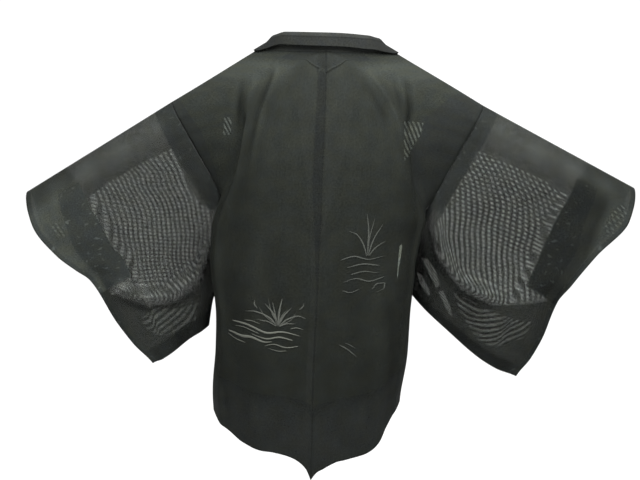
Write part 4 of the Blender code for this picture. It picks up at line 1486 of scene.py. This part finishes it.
        first, second = self.watering.phases(points)
        loops = phase(self.form.fold_rise(along, distance), self.LOOP_RISE)
        first = (first + loops) * (1 - below) + self.watering.ring_phase(points) * below
        shifted, comb_width = self.COMB
        comb = -self.form.side.value * phase(ease(into_cuff / comb_width + 1.0), 1 / shifted)
        towards_hand = np.abs(points[..., 0]) - abs(self.watering.centre)
        (high, low), (start, rise) = self.watering.crossing, self.CROSSING_HEIGHT
        upper = ease((points[..., 2] + 0.8 * towards_hand - start) / rise)
        return {
            "clear": back_clear * on_back + front_clear * (1 - on_back),
            "tone": tone * on_back + (1 - on_back),
            "clear_more": self.PANE_CLEAR * (1 - 0.5 * below) * (1 - near_hand) + self.GAP_CLEAR * in_gap,
            "tone_more": more_tone + self.gap_highlight_tone * in_gap,
            "rim": 0.0 * along,
            "lap": self.lap(along, distance, on_back),
            "pane": np.where(on_back > 0, np.max(panes, axis=0), -0.01),
            "water": self.watering.strength * (1 - 0.10 * below) * (1 - 0.45 * near_hand),
            "swing_a": first + in_gap * phase(distance, self.GAP_PITCH) + comb,
            "swing_b": second + loops,
            "weft": (low + (high - low) * upper) * (1 - 0.5 * below),
        }

    def cloth(self) -> Cloth:
        """The whole bag.

        Each station is a ring of points up the back wall, over the folded top and down the front.
        The ring closes along the sewn bottom, and a strip joins both walls below the hand opening.

        Returns:
            The cloth.
        """
        form = self.form
        lengths = self.distances()
        along, distance = np.meshgrid(np.linspace(0.0, 1.0, self.stations), lengths, indexing="ij")
        back = form.wall(along, distance, Face.BACK)
        front = form.wall(along, distance, Face.FRONT)
        ring = np.concatenate([back[:, ::-1], front[:, 1:]], axis=1)
        away = form.armhole_normal()
        ring[0] += away * SEAM_GAP
        around = np.concatenate([ring[:, -1:], ring, ring[:, :1]], axis=1)
        normals = grid_normals(around)[:, 1:-1]
        normals[0] = within_plane(normals[0], away)
        count = ring.shape[1]
        start = (np.arange(self.stations - 1)[:, None] * count + np.arange(count)[None]).ravel()
        following = np.where(start % count == count - 1, start + 1 - count, start + 1)
        quads = np.stack([start, following, following + count, start + count], axis=1)
        last = len(lengths) - 1
        behind = (self.stations - 1) * count + last
        closed = np.flatnonzero(form.over_arm(lengths[:-1])[0] >= CUFF_OPENING)
        strip = np.stack([behind + closed, behind + closed + 1, behind - closed - 1, behind - closed], axis=1)
        quads = np.concatenate([quads, strip])
        if form.side is Side.RIGHT:
            quads, normals = quads[:, ::-1], -normals
        both = np.concatenate([distance[:, ::-1], distance[:, 1:]], axis=1)
        whole = np.repeat(along[:, :1], count, axis=1)
        on_back = np.zeros_like(both)
        on_back[:, : last + 1] = 1.0
        cut = np.stack([whole * SLEEVE_WIDTH, np.where(on_back > 0, both, -both)], axis=-1)
        fields = self.fields(whole, both, ring, on_back)
        return Cloth(ring, cut, fields, normals, quads)


LEFT_SLEEVE = Sleeve(
    form=LEFT_FORM,
    allowance=0.037,
    cuff_line=((0.0, 0.66), (0.10, 0.665), (0.16, 0.68), (0.22, 0.725), (0.477, 0.735)),
    turned_line=((0.0, 0.775), (0.10, 0.82), (0.213, 0.915), (0.305, 0.95)),
    cuff_end=0.288,
    cuff_tones=(0.95, 1.85),
    outer_start=0.0,
    fold_shade_tones=(-0.12, 0.22),
    gap_highlight_tone=0.9,
    window=LEFT_WINDOW,
    low_pane=LEFT_LOW_PANE,
    gaps=(
        ((0.76, 0.296), (0.84, 0.292), (0.92, 0.299), (0.93, 0.304), (0.85, 0.306), (0.80, 0.299)),
        ((0.83, 0.316), (0.87, 0.313), (0.85, 0.323), (0.79, 0.328)),
        ((0.66, 0.304), (0.69, 0.306), (0.66, 0.338), (0.69, 0.364), (0.67, 0.368), (0.64, 0.340)),
    ),
    hand_pane=(0.885, 0.126, 0.009),
    watering=Watering(
        pitches=(0.0100, 0.0078),
        centre=0.36,
        lean=0.10,
        more_lean=0.45,
        turn=-0.27,
        cross_pitch=0.0074,
        cross_rise=-0.12,
        crossing=(0.70, 0.85),
        strength=0.72,
        bend=(0.335, -0.245, 0.0045),
        rings=(0.356, -0.436, 0.0108),
    ),
)
RIGHT_SLEEVE = Sleeve(
    form=RIGHT_FORM,
    allowance=0.030,
    cuff_line=((0.0, 0.64), (0.105, 0.645), (0.18, 0.705), (0.245, 0.765), (0.477, 0.78)),
    turned_line=((0.0, 0.755), (0.11, 0.785), (0.189, 0.90), (0.265, 0.92)),
    cuff_end=0.262,
    cuff_tones=(-0.45, 0.85),
    outer_start=0.028,
    fold_shade_tones=(-0.50, 0.20),
    gap_highlight_tone=1.35,
    window=RIGHT_WINDOW,
    low_pane=RIGHT_LOW_PANE,
    gaps=(
        ((0.105, 0.338), (0.14, 0.33), (0.215, 0.346), (0.255, 0.372), (0.235, 0.384), (0.18, 0.368)),
        ((0.085, 0.382), (0.12, 0.378), (0.185, 0.4), (0.197, 0.414), (0.165, 0.418), (0.11, 0.402)),
        ((0.255, 0.39), (0.285, 0.379), (0.365, 0.406), (0.385, 0.428), (0.35, 0.424), (0.29, 0.402)),
    ),
    hand_pane=(0.945, 0.098, 0.017),
    watering=Watering(
        pitches=(0.0092, 0.0106),
        centre=-0.36,
        lean=-0.10,
        more_lean=0.55,
        turn=-0.30,
        cross_pitch=0.0080,
        cross_rise=-0.40,
        crossing=(0.95, 0.62),
        strength=0.90,
        rings=(-0.300, -0.430, 0.0088),
    ),
)


@dataclass
class BodyPanel(CutPiece):
    """One body panel: a single length of cloth from the back hem over the shoulder to the front.

    Attributes:
        side: The wearer's side.
        allowance_line: Where the doubled cloth beside the sleeve ends on the back: up, across.
        centre_allowance: How wide the doubled cloth beside the centre seam is.
        patch: The outline of the pane under the arm: X and Z.
        slit: The outline of a narrow bright pane before the side opening, if there is one: across, up.
        columns, rows: How many columns and rows of points it has.
        width: How wide the cloth is.
        turn_up, turn_up_rise: How deep the turned-up back hem is, and how much less at the side.
    """

    side: Side
    allowance_line: Rows
    centre_allowance: float
    patch: Rows
    slit: Rows = ()
    columns: int = 85
    rows: int = 361
    width: float = 0.310
    turn_up: float = 0.139
    turn_up_rise: float = 0.047

    # The lower edge of the facing that shows through at the nape, and the place across of its end
    FACING_LINE = ((0.0, 0.755), (0.1, 0.760), (0.25, 0.769), (0.425, 0.785), (0.55, 0.806), (0.66, 0.822))
    FACING_END = 0.66
    # How deep the front's side allowance is, and how much less its hem is turned up
    FRONT_ALLOWANCE = 0.020
    FRONT_HEM_LESS = 0.010
    # The lines of the pane under the arm, and the distance between those of the slit
    WATERING = Watering((0.0076, 0.0076), 0.0, 0.50, 0.0, 0.0, 0.0130, -0.3, (0.3, 0.3))
    SLIT_PITCH = 0.013
    # Painted highlight on a crease's crown and painted shade in its trough: how much brighter the threads are
    # for each metre that the cloth stands out, and darker where it sinks
    CREASE_PAINTED_LIGHT = 45.0

    @property
    def name(self) -> str:
        """The name of the node that it dresses."""
        return f"body_panel_{self.side.name.lower()}"

    def lap(self, across: Array, up: Array) -> Array:
        """The distance into doubled cloth: hems, seam allowances and the facing at the nape.

        Args:
            across: From 0 at the centre to 4 at the side.
            up: The length from the back hem.

        Returns:
            The distance in metres, positive inside it.
        """
        out = across / 4 * self.width
        back_hem = self.turn_up - self.turn_up_rise * (across / 4) ** 2 - up
        front_hem = up - (FRONT_HEM_UP - self.turn_up + self.FRONT_HEM_LESS)
        on_back = (across - glide_rows(self.allowance_line, up)) * self.width / 4
        side = np.where(up < SHOULDER_UP, on_back, out - (self.width - self.FRONT_ALLOWANCE))
        centre = self.centre_allowance * (0.15 + 0.85 * ease((up - 0.35) / 0.25)) - out
        past_point = up - glide_rows(self.FACING_LINE, across)
        centre = np.minimum(centre, -past_point - 0.004)
        facing = np.where(up < 0.84, past_point * 0.6, -1.0)
        facing = np.minimum(facing, (0.72 - across) * self.width / 4)
        return np.max([back_hem, front_hem, side, centre, facing], axis=0)

    def fields(self, across: Array, up: Array, points: Array) -> dict[str, Array]:
        """What the finish reads.

        The cloth is nearly opaque, but for a small pane under the arm where nothing lies behind it
        and the slit, whose threads carry painted light. Each crease has a painted highlight on its crown
        and painted shade in its trough. The outer shoulder and the slope beside the neck carry painted
        light, and the hem is lighter too, while the centre band is darker and the side edge carries a
        painted shade line. The edge of the facing at the nape shows a painted highlight line with a
        painted shade line outside it.

        Args:
            across: From 0 at the centre to 4 at the side.
            up: The length from the back hem.
            points: The cloth's points.

        Returns:
            The fields by name.
        """
        x, z = points[..., 0], points[..., 2]
        even = np.ones_like(across)
        pane = np.where((up < 0.80) & (across > 1.2), inside(x, z, self.patch, 1.0), -0.01)
        slit = inside(across, up, self.slit, self.width / 4) if self.slit else -0.01 * even
        in_slit = ease(slit / 0.004 + 1.0)
        first, second = self.WATERING.phases(points)
        face = np.where(up < SHOULDER_UP, 1.0, -1.0)
        out = across / 4 * self.width
        # How much brighter, and where, in the order above: painted highlight and shade of the creases,
        # painted light on the outer shoulder and on the slope beside the neck, the lighter hem, the darker
        # centre band, and painted shade at the side edge
        tones = (
            (self.CREASE_PAINTED_LIGHT, sum((face * c.face.value > 0) * c.relief(x, z) for c in CREASES)),
            (0.35, ease((across - 2.4) / 0.8) * ease((up - 0.52) / 0.10)),
            (0.85, bell(across, 1.7, 0.9) * ease((up - 0.76) / 0.08)),
            (0.30, 1 - ease((up - 0.10) / 0.04)),
            (-0.16, switch(self.centre_allowance - out, 0.002) * ease((up - 0.35) / 0.25)),
            (-0.25, bell(across, 4.0, 0.05)),
        )
        on_facing = (across < self.FACING_END) & (up < 0.83)
        return {
            "clear": 0.003 * even,
            "tone": 1.0 + sum(amount * share for amount, share in tones),
            "clear_more": 0.06 * even,
            # Painted light: the threads of the pane under the arm are brighter, those of the slit much more
            "tone_more": 0.8 + 5.0 * in_slit,
            "lap": np.where(pane > -0.002, -0.01, self.lap(across, up)),
            "pane": np.maximum(pane, slit),
            # A painted highlight line along the edge of the facing at the nape, with a painted shade line
            # outside it
            "rim": ease((up - glide_rows(self.FACING_LINE, across)) / 0.004 + 2.5) * on_facing,
            "water": 0.9 - 0.3 * in_slit,
            "swing_a": first * (1 - in_slit) + phase(up, self.SLIT_PITCH) * in_slit,
            "swing_b": second,
            "weft": 0.3 * even,
        }

    def cloth(self) -> Cloth:
        """The panel, with rows closer together over the shoulder.

        Returns:
            The cloth.
        """
        across = np.linspace(0.0, 4.0, self.columns)
        knots = [0.0, NAPE_UP, SHOULDER_UP, FRONT_HEM_UP]
        up = np.interp(np.linspace(0, 1, self.rows), [0.0, 0.47, 0.53, 1.0], knots)
        up[np.abs(up - NAPE_UP).argmin()] = NAPE_UP
        points = BODY.surface(self.side, across, up)
        normals = grid_normals(points)
        on_seam = up <= NAPE_UP + 1e-9
        normals[on_seam, 0, 0] = 0.0
        at_armhole = (up > ARMHOLE_UPS[0] - 1e-9) & (up < ARMHOLE_UPS[1] + 1e-9)
        away = SLEEVES[self.side].armhole_normal()
        points[at_armhole, -1] -= away * SEAM_GAP
        normals[at_armhole, -1] = within_plane(normals[at_armhole, -1], away)
        grid_across, grid_up = np.meshgrid(across, up)
        cut = np.stack([grid_across / 4 * self.width, grid_up], axis=-1)
        fields = self.fields(grid_across, grid_up, points)
        return Cloth(points, cut, fields, unit(normals))


PANELS = (
    BodyPanel(Side.LEFT, ((0.0, 3.75), (0.458, 3.75), (0.89, 3.75)), 0.015, LEFT_PATCH),
    BodyPanel(
        Side.RIGHT,
        ((0.0, 3.75), (0.44, 3.70), (0.458, 2.83), (0.84, 3.25), (0.89, 3.3)),
        -0.01,
        RIGHT_PATCH,
        RIGHT_SLIT,
    ),
)


def plain_fields(shape: tuple[int, ...], clear: float, tone: float) -> dict[str, Array]:
    """The fields of a small piece that is the same all over."""
    unused = ("clear_more", "tone_more", "rim", "water", "swing_a", "swing_b", "weft")
    values = {"clear": clear, "tone": tone, "lap": -0.01, "pane": -0.01} | dict.fromkeys(unused, 0.0)
    return {name: np.full(shape, value) for name, value in values.items()}


@dataclass
class Gusset(CutPiece):
    """The long triangular piece between back and front under the arm, folded inwards.

    Attributes:
        side: The wearer's side.
        rows, columns: How many rows and columns of points it has.
        fold_top, fold_hem: How deep the fold is at the top and at the hem.
        seam_gap: How far it stands off both panels' edges.
    """

    side: Side
    rows: int = 121
    columns: int = 13
    fold_top: float = 0.006
    fold_hem: float = 0.024
    seam_gap: float = 0.0011

    @property
    def name(self) -> str:
        """The name of the node that it dresses."""
        return f"side_gusset_{self.side.name.lower()}"

    def cloth(self) -> Cloth:
        """Straight lines between the two panels' edges, bent inwards in an arc.

        Returns:
            The cloth.
        """
        share = np.linspace(0.0, 1.0, self.rows)
        edges = []
        for up in (share * GUSSET_TOP_UP, FRONT_HEM_UP - share * (FRONT_HEM_UP - GUSSET_TOP_FRONT_UP)):
            strip = BODY.surface(self.side, np.array([3.90, 4.0]), up)
            edges.append(strip[:, 1] + unit(strip[:, 1] - strip[:, 0]) * self.seam_gap)
        across = np.linspace(0.0, 1.0, self.columns)
        points = edges[0][:, None] * (1 - across)[:, None] + edges[1][:, None] * across[:, None]
        depth = self.fold_top + (self.fold_hem - self.fold_top) * (1 - share)
        points[..., 0] -= self.side.value * depth[:, None] * np.sin(math.pi * across)
        cut = np.stack(np.meshgrid(across * 0.06, share * 0.49), axis=-1)
        fields = plain_fields(points.shape[:2], 0.06, 0.9)
        return Cloth(points, cut, fields)


@dataclass(frozen=True)
class Roll:
    """The collar's cross section beside one place of the body panel.

    stand_in and stand_up give the direction in which it leaves the seam, towards the middle and
    upwards. turn is the angle, in degrees, through which it folds back over itself, and fold is
    where the fold begins across it.
    """

    up: float
    stand_in: float
    stand_up: float
    turn: float
    fold: float


@dataclass
class Collar(CutPiece):
    """The collar: one long band round the neck and down both fronts, turned back at the nape.

    Attributes:
        rolls: Its cross sections, from the nape to the front hem.
        name: The name of the node that it dresses.
        width: How wide the band is.
        slip: How much nearer the seam the fold begins on the right side.
        fold_length: How much of it the fold takes.
        press: How far past the start of the fold the pressed line is.
        rows, steps: How many rows each half has, and how many points it has across.
        thickness: How thick it is.
    """

    rolls: tuple[Roll, ...] = (
        Roll(0.812, 0.10, 1.00, 163, 0.031),
        Roll(0.850, 0.25, 1.00, 164, 0.031),
        Roll(0.868, 0.66, 0.95, 176, 0.026),
        Roll(0.886, 1.00, 0.45, 187, 0.021),
        Roll(0.932, 1.00, 0.34, 180, 0.021),
        Roll(0.992, 1.00, 0.30, 152, 0.025),
        Roll(1.062, 1.00, 0.18, 124, 0.030),
        Roll(1.132, 1.00, 0.04, 98, 0.030),
        Roll(1.212, 1.00, 0.00, 66, 0.030),
        Roll(1.300, 1.00, 0.00, 32, 0.030),
        Roll(1.420, 1.00, 0.00, 8, 0.030),
        Roll(1.690, 1.00, 0.00, 0, 0.030),
    )
    name: str = "collar"
    width: float = 0.064
    slip: float = 0.003
    fold_length: float = 0.011
    press: float = 0.0152
    rows: int = 261
    steps: int = 65
    thickness: float = 0.0022

    def half(self, side: Side) -> tuple[Array, Array]:
        """Points of half the collar, from the nape to the front hem, and where its fold begins.

        Each row leaves the seam in the direction that the cross sections give and turns about the
        seam's own direction, softly, over the length of the fold.

        Args:
            side: The wearer's side.

        Returns:
            Points, by row, by step, by 3, and the fold's place by row.
        """
        at_neck = np.linspace(NAPE_UP, 1.06, 121)
        up = np.concatenate([at_neck, np.linspace(1.06, FRONT_HEM_UP, self.rows - 120)[1:]])
        edge = BODY.surface(side, np.array([0.0, 0.3]), up, creased=False)
        base = edge[:, 0]
        along = unit(np.gradient(base, axis=0))
        along[0] = np.array([side.value, 0.0, 0.0])
        to_neck = unit(np.stack([-base[:, 0], -base[:, 1] - 0.02, 0 * up], axis=1))
        flat = unit(edge[:, 0] - edge[:, 1])
        on_front = ease((up - 0.96) / 0.12)[:, None]
        inwards = unit(to_neck * (1 - on_front) + flat * on_front)
        table = [[r.stand_in, r.stand_up, math.radians(r.turn), r.fold] for r in self.rolls]
        lean = glide([r.up for r in self.rolls], table, up)
        fold = lean[:, 3] - (side is Side.RIGHT) * self.slip * bell(up, 0.853, 0.020)
        stand = inwards * lean[:, :1] + np.array([0.0, 0.0, 1.0]) * lean[:, 1:2]
        stand = within_plane(stand, along)
        turned = np.cross(along, stand)
        outside = base * np.array([1.0, 1.0, 0.0])
        turned *= np.sign(np.sum(turned * outside, axis=1, keepdims=True))
        fine = np.linspace(0.0, self.width, 8 * (self.steps - 1) + 1)
        angle = lean[:, 2:3] * ease((fine[None] - fold[:, None]) / self.fold_length)
        direction = stand[:, None] * np.cos(angle)[..., None] + turned[:, None] * np.sin(angle)[..., None]
        middle = (direction[:, 1:] + direction[:, :-1]) / 2 * (fine[1] - fine[0])
        profile = np.concatenate([np.zeros_like(middle[:, :1]), np.cumsum(middle, axis=1)], axis=1)
        return (base - stand * 0.003)[:, None] + profile[:, ::8], fold

    def cloth(self) -> Cloth:
        """Both halves in one band: a painted highlight up to the pressed line, darker past it, and a painted
        shade line along it.

        Returns:
            The cloth.
        """
        (left, left_fold), (right, right_fold) = self.half(Side.LEFT), self.half(Side.RIGHT)
        points = np.concatenate([left[::-1], right[1:]])
        fold = np.concatenate([left_fold[::-1], right_fold[1:]])
        long_way = lengths_over(points, 0)[:, :1] + 0 * points[..., 0]
        cut = np.stack([lengths_over(points, 1), long_way], axis=-1)
        past_press = np.linspace(0.0, self.width, self.steps)[None] - fold[:, None] - self.press
        fields = plain_fields(points.shape[:2], 0.001, 1.0)
        # Painted highlight on the part up to the pressed line, and a painted shade line along that line
        fields["tone"] = 1.5 - 0.5 * switch(past_press, 0.002) - 0.55 * bell(past_press, 0.0, 0.0012)
        return Cloth(points, cut, fields)


@dataclass
class NapeFacing(CutPiece):
    """The pointed facing inside the nape, lying on the inner face of both back panels.

    Attributes:
        name: The name of the node that it dresses.
        rows, columns: How many rows of points it has, and how many columns each half has.
        drop: How far its point lies below its top edge.
        reach: How far its top edge reaches, as a share of a panel's width.
        gap: The room between it and the panels.
    """

    name: str = "nape_facing"
    rows: int = 33
    columns: int = 41
    drop: float = 0.044
    reach: float = 0.30
    gap: float = 0.0012

    def cloth(self) -> Cloth:
        """Rows that are each shorter than the last, down to the point.

        Returns:
            The cloth.
        """
        share = np.linspace(0.0, 1.0, self.rows)[:, None]
        place = np.linspace(-1.0, 1.0, 2 * self.columns - 1)[None]
        across = np.abs(place) * self.reach * 4 * (1 - 0.96 * share)
        up = NAPE_UP - 0.004 - share * self.drop + 0 * place
        halves = {side: PanelMap(side).lifted(across, up, -(self.thickness + self.gap)) for side in Side}
        points = np.where((place > 0)[..., None], halves[Side.LEFT], halves[Side.RIGHT])
        cut = np.stack([place * 0.09 + 0 * share, up], axis=-1)
        fields = plain_fields(points.shape[:2], 0.05, 0.9)
        return Cloth(points, cut, fields)


@dataclass
class Motif(CutPiece):
    """Grass and flowing water, as tapered strokes that lie on the back of a body panel.

    Attributes:
        name: The piece's name.
        side: The wearer's side.
        strokes: The strokes, in millimetres: greatest width, and then points.
        points: How many points each stroke has along it.
        height: How far it stands above the middle of the cloth.
        thickness: How thick it is.
    """

    name: str
    side: Side
    strokes: tuple[Stroke, ...]
    points: int = 25
    height: float = 0.0009
    thickness: float = 0.0003

    # The place across a panel by the distance from the centre seam
    PLACES = ((0.0, 0.0), (0.09, 1.0), (0.16, 2.0), (0.24, 3.0))

    def places(self, stroke: Stroke) -> Array:
        """Where a stroke's points lie on the flat panel.

        A smooth curve runs through the stroke's points. The width grows quickly from its start and
        falls to nothing at its end.

        Args:
            stroke: The stroke, in millimetres.

        Returns:
            Places, by point along it, by three across it, by 2.
        """
        width, line = stroke[0] / 1000, np.array(stroke[1:]) / 1000
        reach = np.concatenate([[0.0], np.cumsum(np.linalg.norm(np.diff(line, axis=0), axis=1))])
        t = np.linspace(0.0, 1.0, self.points)
        middle = glide(reach / reach[-1], line, t)
        way = unit(np.gradient(middle, axis=0))
        square = np.stack([-way[:, 1], way[:, 0]], axis=1)
        half = width / 2 * (0.08 + 1.5 * (t + 0.02) ** 0.5 * (1 - t) ** 0.8)
        sides = np.array([-1.0, 0.0, 1.0])[None, :, None]
        return middle[:, None] + square[:, None] * half[:, None, None] * sides

    def cloth(self) -> Cloth:
        """All strokes as one piece, each a narrow grid of its own.

        Returns:
            The cloth.
        """
        place = np.concatenate([self.places(stroke) for stroke in self.strokes])
        across = glide_rows(self.PLACES, place[..., 0])
        panel = PanelMap(self.side)
        points = panel.lifted(across, place[..., 1], self.height)
        normals = unit(panel.read(panel.outward, across, place[..., 1]))
        quads = grid_quads(len(place), 3)
        quads = quads[quads[:, 0] // 3 % self.points != self.points - 1]
        if self.side is Side.LEFT:
            quads = quads[:, ::-1]
        fields = plain_fields(across.shape, 0.0, 1.0)
        return Cloth(points, place, fields, normals, quads)


# The strokes in millimetres: greatest width, and points from the centre seam and up from the hem
GRASS = (
    (4.6, (66, 298), (64, 326), (59, 354)),
    (4, (67, 299), (74, 322), (88, 341)),
    (4.2, (68, 298), (82, 314), (104, 322), (118, 317)),
    (4, (65, 299), (56, 320), (43, 337)),
    (3.8, (64, 298), (50, 313), (31, 321), (18, 316)),
    (3, (67, 300), (71, 322), (75, 345)),
    (3, (64, 297), (50, 304), (36, 305)),
    (3, (69, 297), (86, 305), (103, 306)),
    (1.8, (66, 300), (78, 328), (82, 352)),
    (1.8, (65, 300), (60, 318), (50, 334)),
    (1.6, (67, 298), (90, 318), (98, 334)),
    (1.6, (64, 299), (44, 312), (34, 330)),
    (2.4, (100, 330), (104, 338), (103, 346)),
    (2.4, (30, 334), (24, 340), (22, 347)),
)
STREAM = (
    (5.6, (142, 281), (114, 288), (85, 280), (58, 286), (26, 280)),
    (4.4, (40, 270), (62, 274), (86, 267), (110, 271)),
    (7, (152, 252), (128, 255), (108, 263), (90, 259), (76, 262)),
    (3, (30, 258), (52, 253), (72, 257), (90, 250)),
    (2, (120, 296), (108, 300), (96, 297)),
    (2, (44, 294), (34, 297), (22, 294)),
    (2.2, (98, 276), (118, 279), (138, 272)),
    (2.2, (120, 244), (138, 241), (154, 245)),
    (1.8, (50, 246), (64, 243), (82, 246)),
)
REEDS_AND_RIPPLES = (
    (3.6, (88, 432), (86, 466), (78, 508)),
    (3.2, (89, 432), (95, 460), (106, 488)),
    (3.2, (87, 431), (79, 452), (63, 472), (50, 477)),
    (2.8, (90, 431), (100, 446), (114, 458)),
    (2.6, (88, 433), (88, 460), (92, 500)),
    (3, (40, 426), (64, 432), (92, 425), (116, 430)),
    (3.4, (110, 412), (82, 417), (52, 412)),
    (2.6, (60, 399), (84, 403), (110, 397)),
    (3, (118, 388), (96, 383), (70, 391), (46, 385)),
    (2.8, (100, 366), (108, 376), (119, 374), (118, 364), (106, 358)),
    (2.4, (46, 370), (62, 365), (80, 371)),
    (3.2, (46, 260), (62, 247), (80, 226)),
    (2, (57, 262), (70, 252), (78, 244)),
)


# --- Studio ---


@dataclass
class Studio:
    """A white room: a pale floor, soft light from above and all round, and the camera.

    Attributes:
        floor_height, floor_size: The Z of the floor, and how wide it is.
        room_light: How bright the room is.
        lamp_place, lamp_aim: Where the lamp is, and where it points.
        lamp_size, lamp_watts: How wide the lamp is, and how strong.
        eye, aim: Where the camera is, and where it points.
        lens: Its focal length in millimetres.
    """

    floor_height: float = -1.35
    floor_size: float = 30.0
    room_light: float = 1.1
    lamp_place: Place = (-0.08, 0.47, 0.50)
    lamp_aim: Place = (0.0, 0.05, -0.15)
    lamp_size: float = 0.65
    lamp_watts: float = 26.0
    eye: Place = (0.011, 2.5747, 0.0018)
    aim: Place = (0.011, 0.0, -0.36)
    lens: float = 78.2

    def floor(self) -> bpy.types.Object:
        """Makes the floor.

        Returns:
            The floor.
        """
        half, z = self.floor_size / 2, self.floor_height
        corners = [(-half, -half, z), (half, -half, z), (half, half, z), (-half, half, z)]
        mesh = bpy.data.meshes.new("floor")
        mesh.from_pydata(corners, [], [(0, 1, 2, 3)])
        mesh.materials.append(FLOOR_PAINT.build())
        made = bpy.data.objects.new("floor", mesh)
        bpy.context.scene.collection.objects.link(made)
        return made

    def aimed(self, name: str, data: bpy.types.ID, place: Place, target: Place) -> bpy.types.Object:
        """Puts a lamp or camera at a place and turns it to a target.

        Args:
            name: Its name.
            data: The lamp or the camera.
            place: Where it goes.
            target: Where it points.

        Returns:
            Its object.
        """
        x, y, z = (end - start for start, end in zip(place, target))
        item = bpy.data.objects.new(name, data)
        item.location = place
        item.rotation_euler = (math.atan2(math.hypot(x, y), -z), 0.0, math.atan2(-x, y))
        bpy.context.scene.collection.objects.link(item)
        return item

    def build(self) -> None:
        """Sets up the floor, the light and the camera."""
        scene = bpy.context.scene
        self.floor()
        scene.world = bpy.data.worlds.new("room")
        scene.world.use_nodes = True
        room = scene.world.node_tree.nodes["Background"].inputs
        room["Color"].default_value = (1.0, 1.0, 1.0, 1.0)
        room["Strength"].default_value = self.room_light
        lamp = bpy.data.lights.new("top_light", "AREA")
        lamp.shape = "SQUARE"
        lamp.size = self.lamp_size
        lamp.energy = self.lamp_watts
        self.aimed("top_light", lamp, self.lamp_place, self.lamp_aim)
        scene.view_settings.view_transform = "Standard"
        camera = bpy.data.cameras.new("camera")
        camera.lens = self.lens
        scene.camera = self.aimed("camera", camera, self.eye, self.aim)


def place_piece(piece: bpy.types.Object, dresses: bool = True) -> bpy.types.Object:
    """Ties a piece to the body it rides with, and hides the node that it takes the place of.

    Args:
        piece: The piece.
        dresses: Whether the piece takes the place of the node that its name gives.

    Returns:
        The piece.
    """
    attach(piece, "root")
    if dresses:
        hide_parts(piece.name.removesuffix("_cloth"))
    LOG.info("%s: %d faces", piece.name, len(piece.data.polygons))
    return piece


def main() -> None:
    """Builds every piece in the order in which they are sewn, and then the studio."""
    logging.basicConfig(level=logging.INFO)
    body_cloth, sleeve_cloth, collar_cloth = BODY_WEAVE.build(), SLEEVE_WEAVE.build(), COLLAR_WEAVE.build()
    for panel in PANELS:
        piece = place_piece(panel.build(body_cloth))
    for sleeve in (LEFT_SLEEVE, RIGHT_SLEEVE):
        piece = place_piece(sleeve.build(sleeve_cloth))
    for side in Side:
        piece = place_piece(Gusset(side).build(body_cloth))
    piece = place_piece(Collar().build(collar_cloth))
    piece = place_piece(NapeFacing().build(collar_cloth))
    motifs = (
        (Motif("grass", Side.LEFT, GRASS), GREY_YARN),
        (Motif("stream", Side.LEFT, STREAM), CREAM_YARN),
        (Motif("reeds_and_ripples", Side.RIGHT, REEDS_AND_RIPPLES), FAINT_YARN),
    )
    for motif, yarn in motifs:
        place_piece(motif.build(yarn.build()), dresses=False)
    Studio().build()


if __name__ == "__main__":
    main()
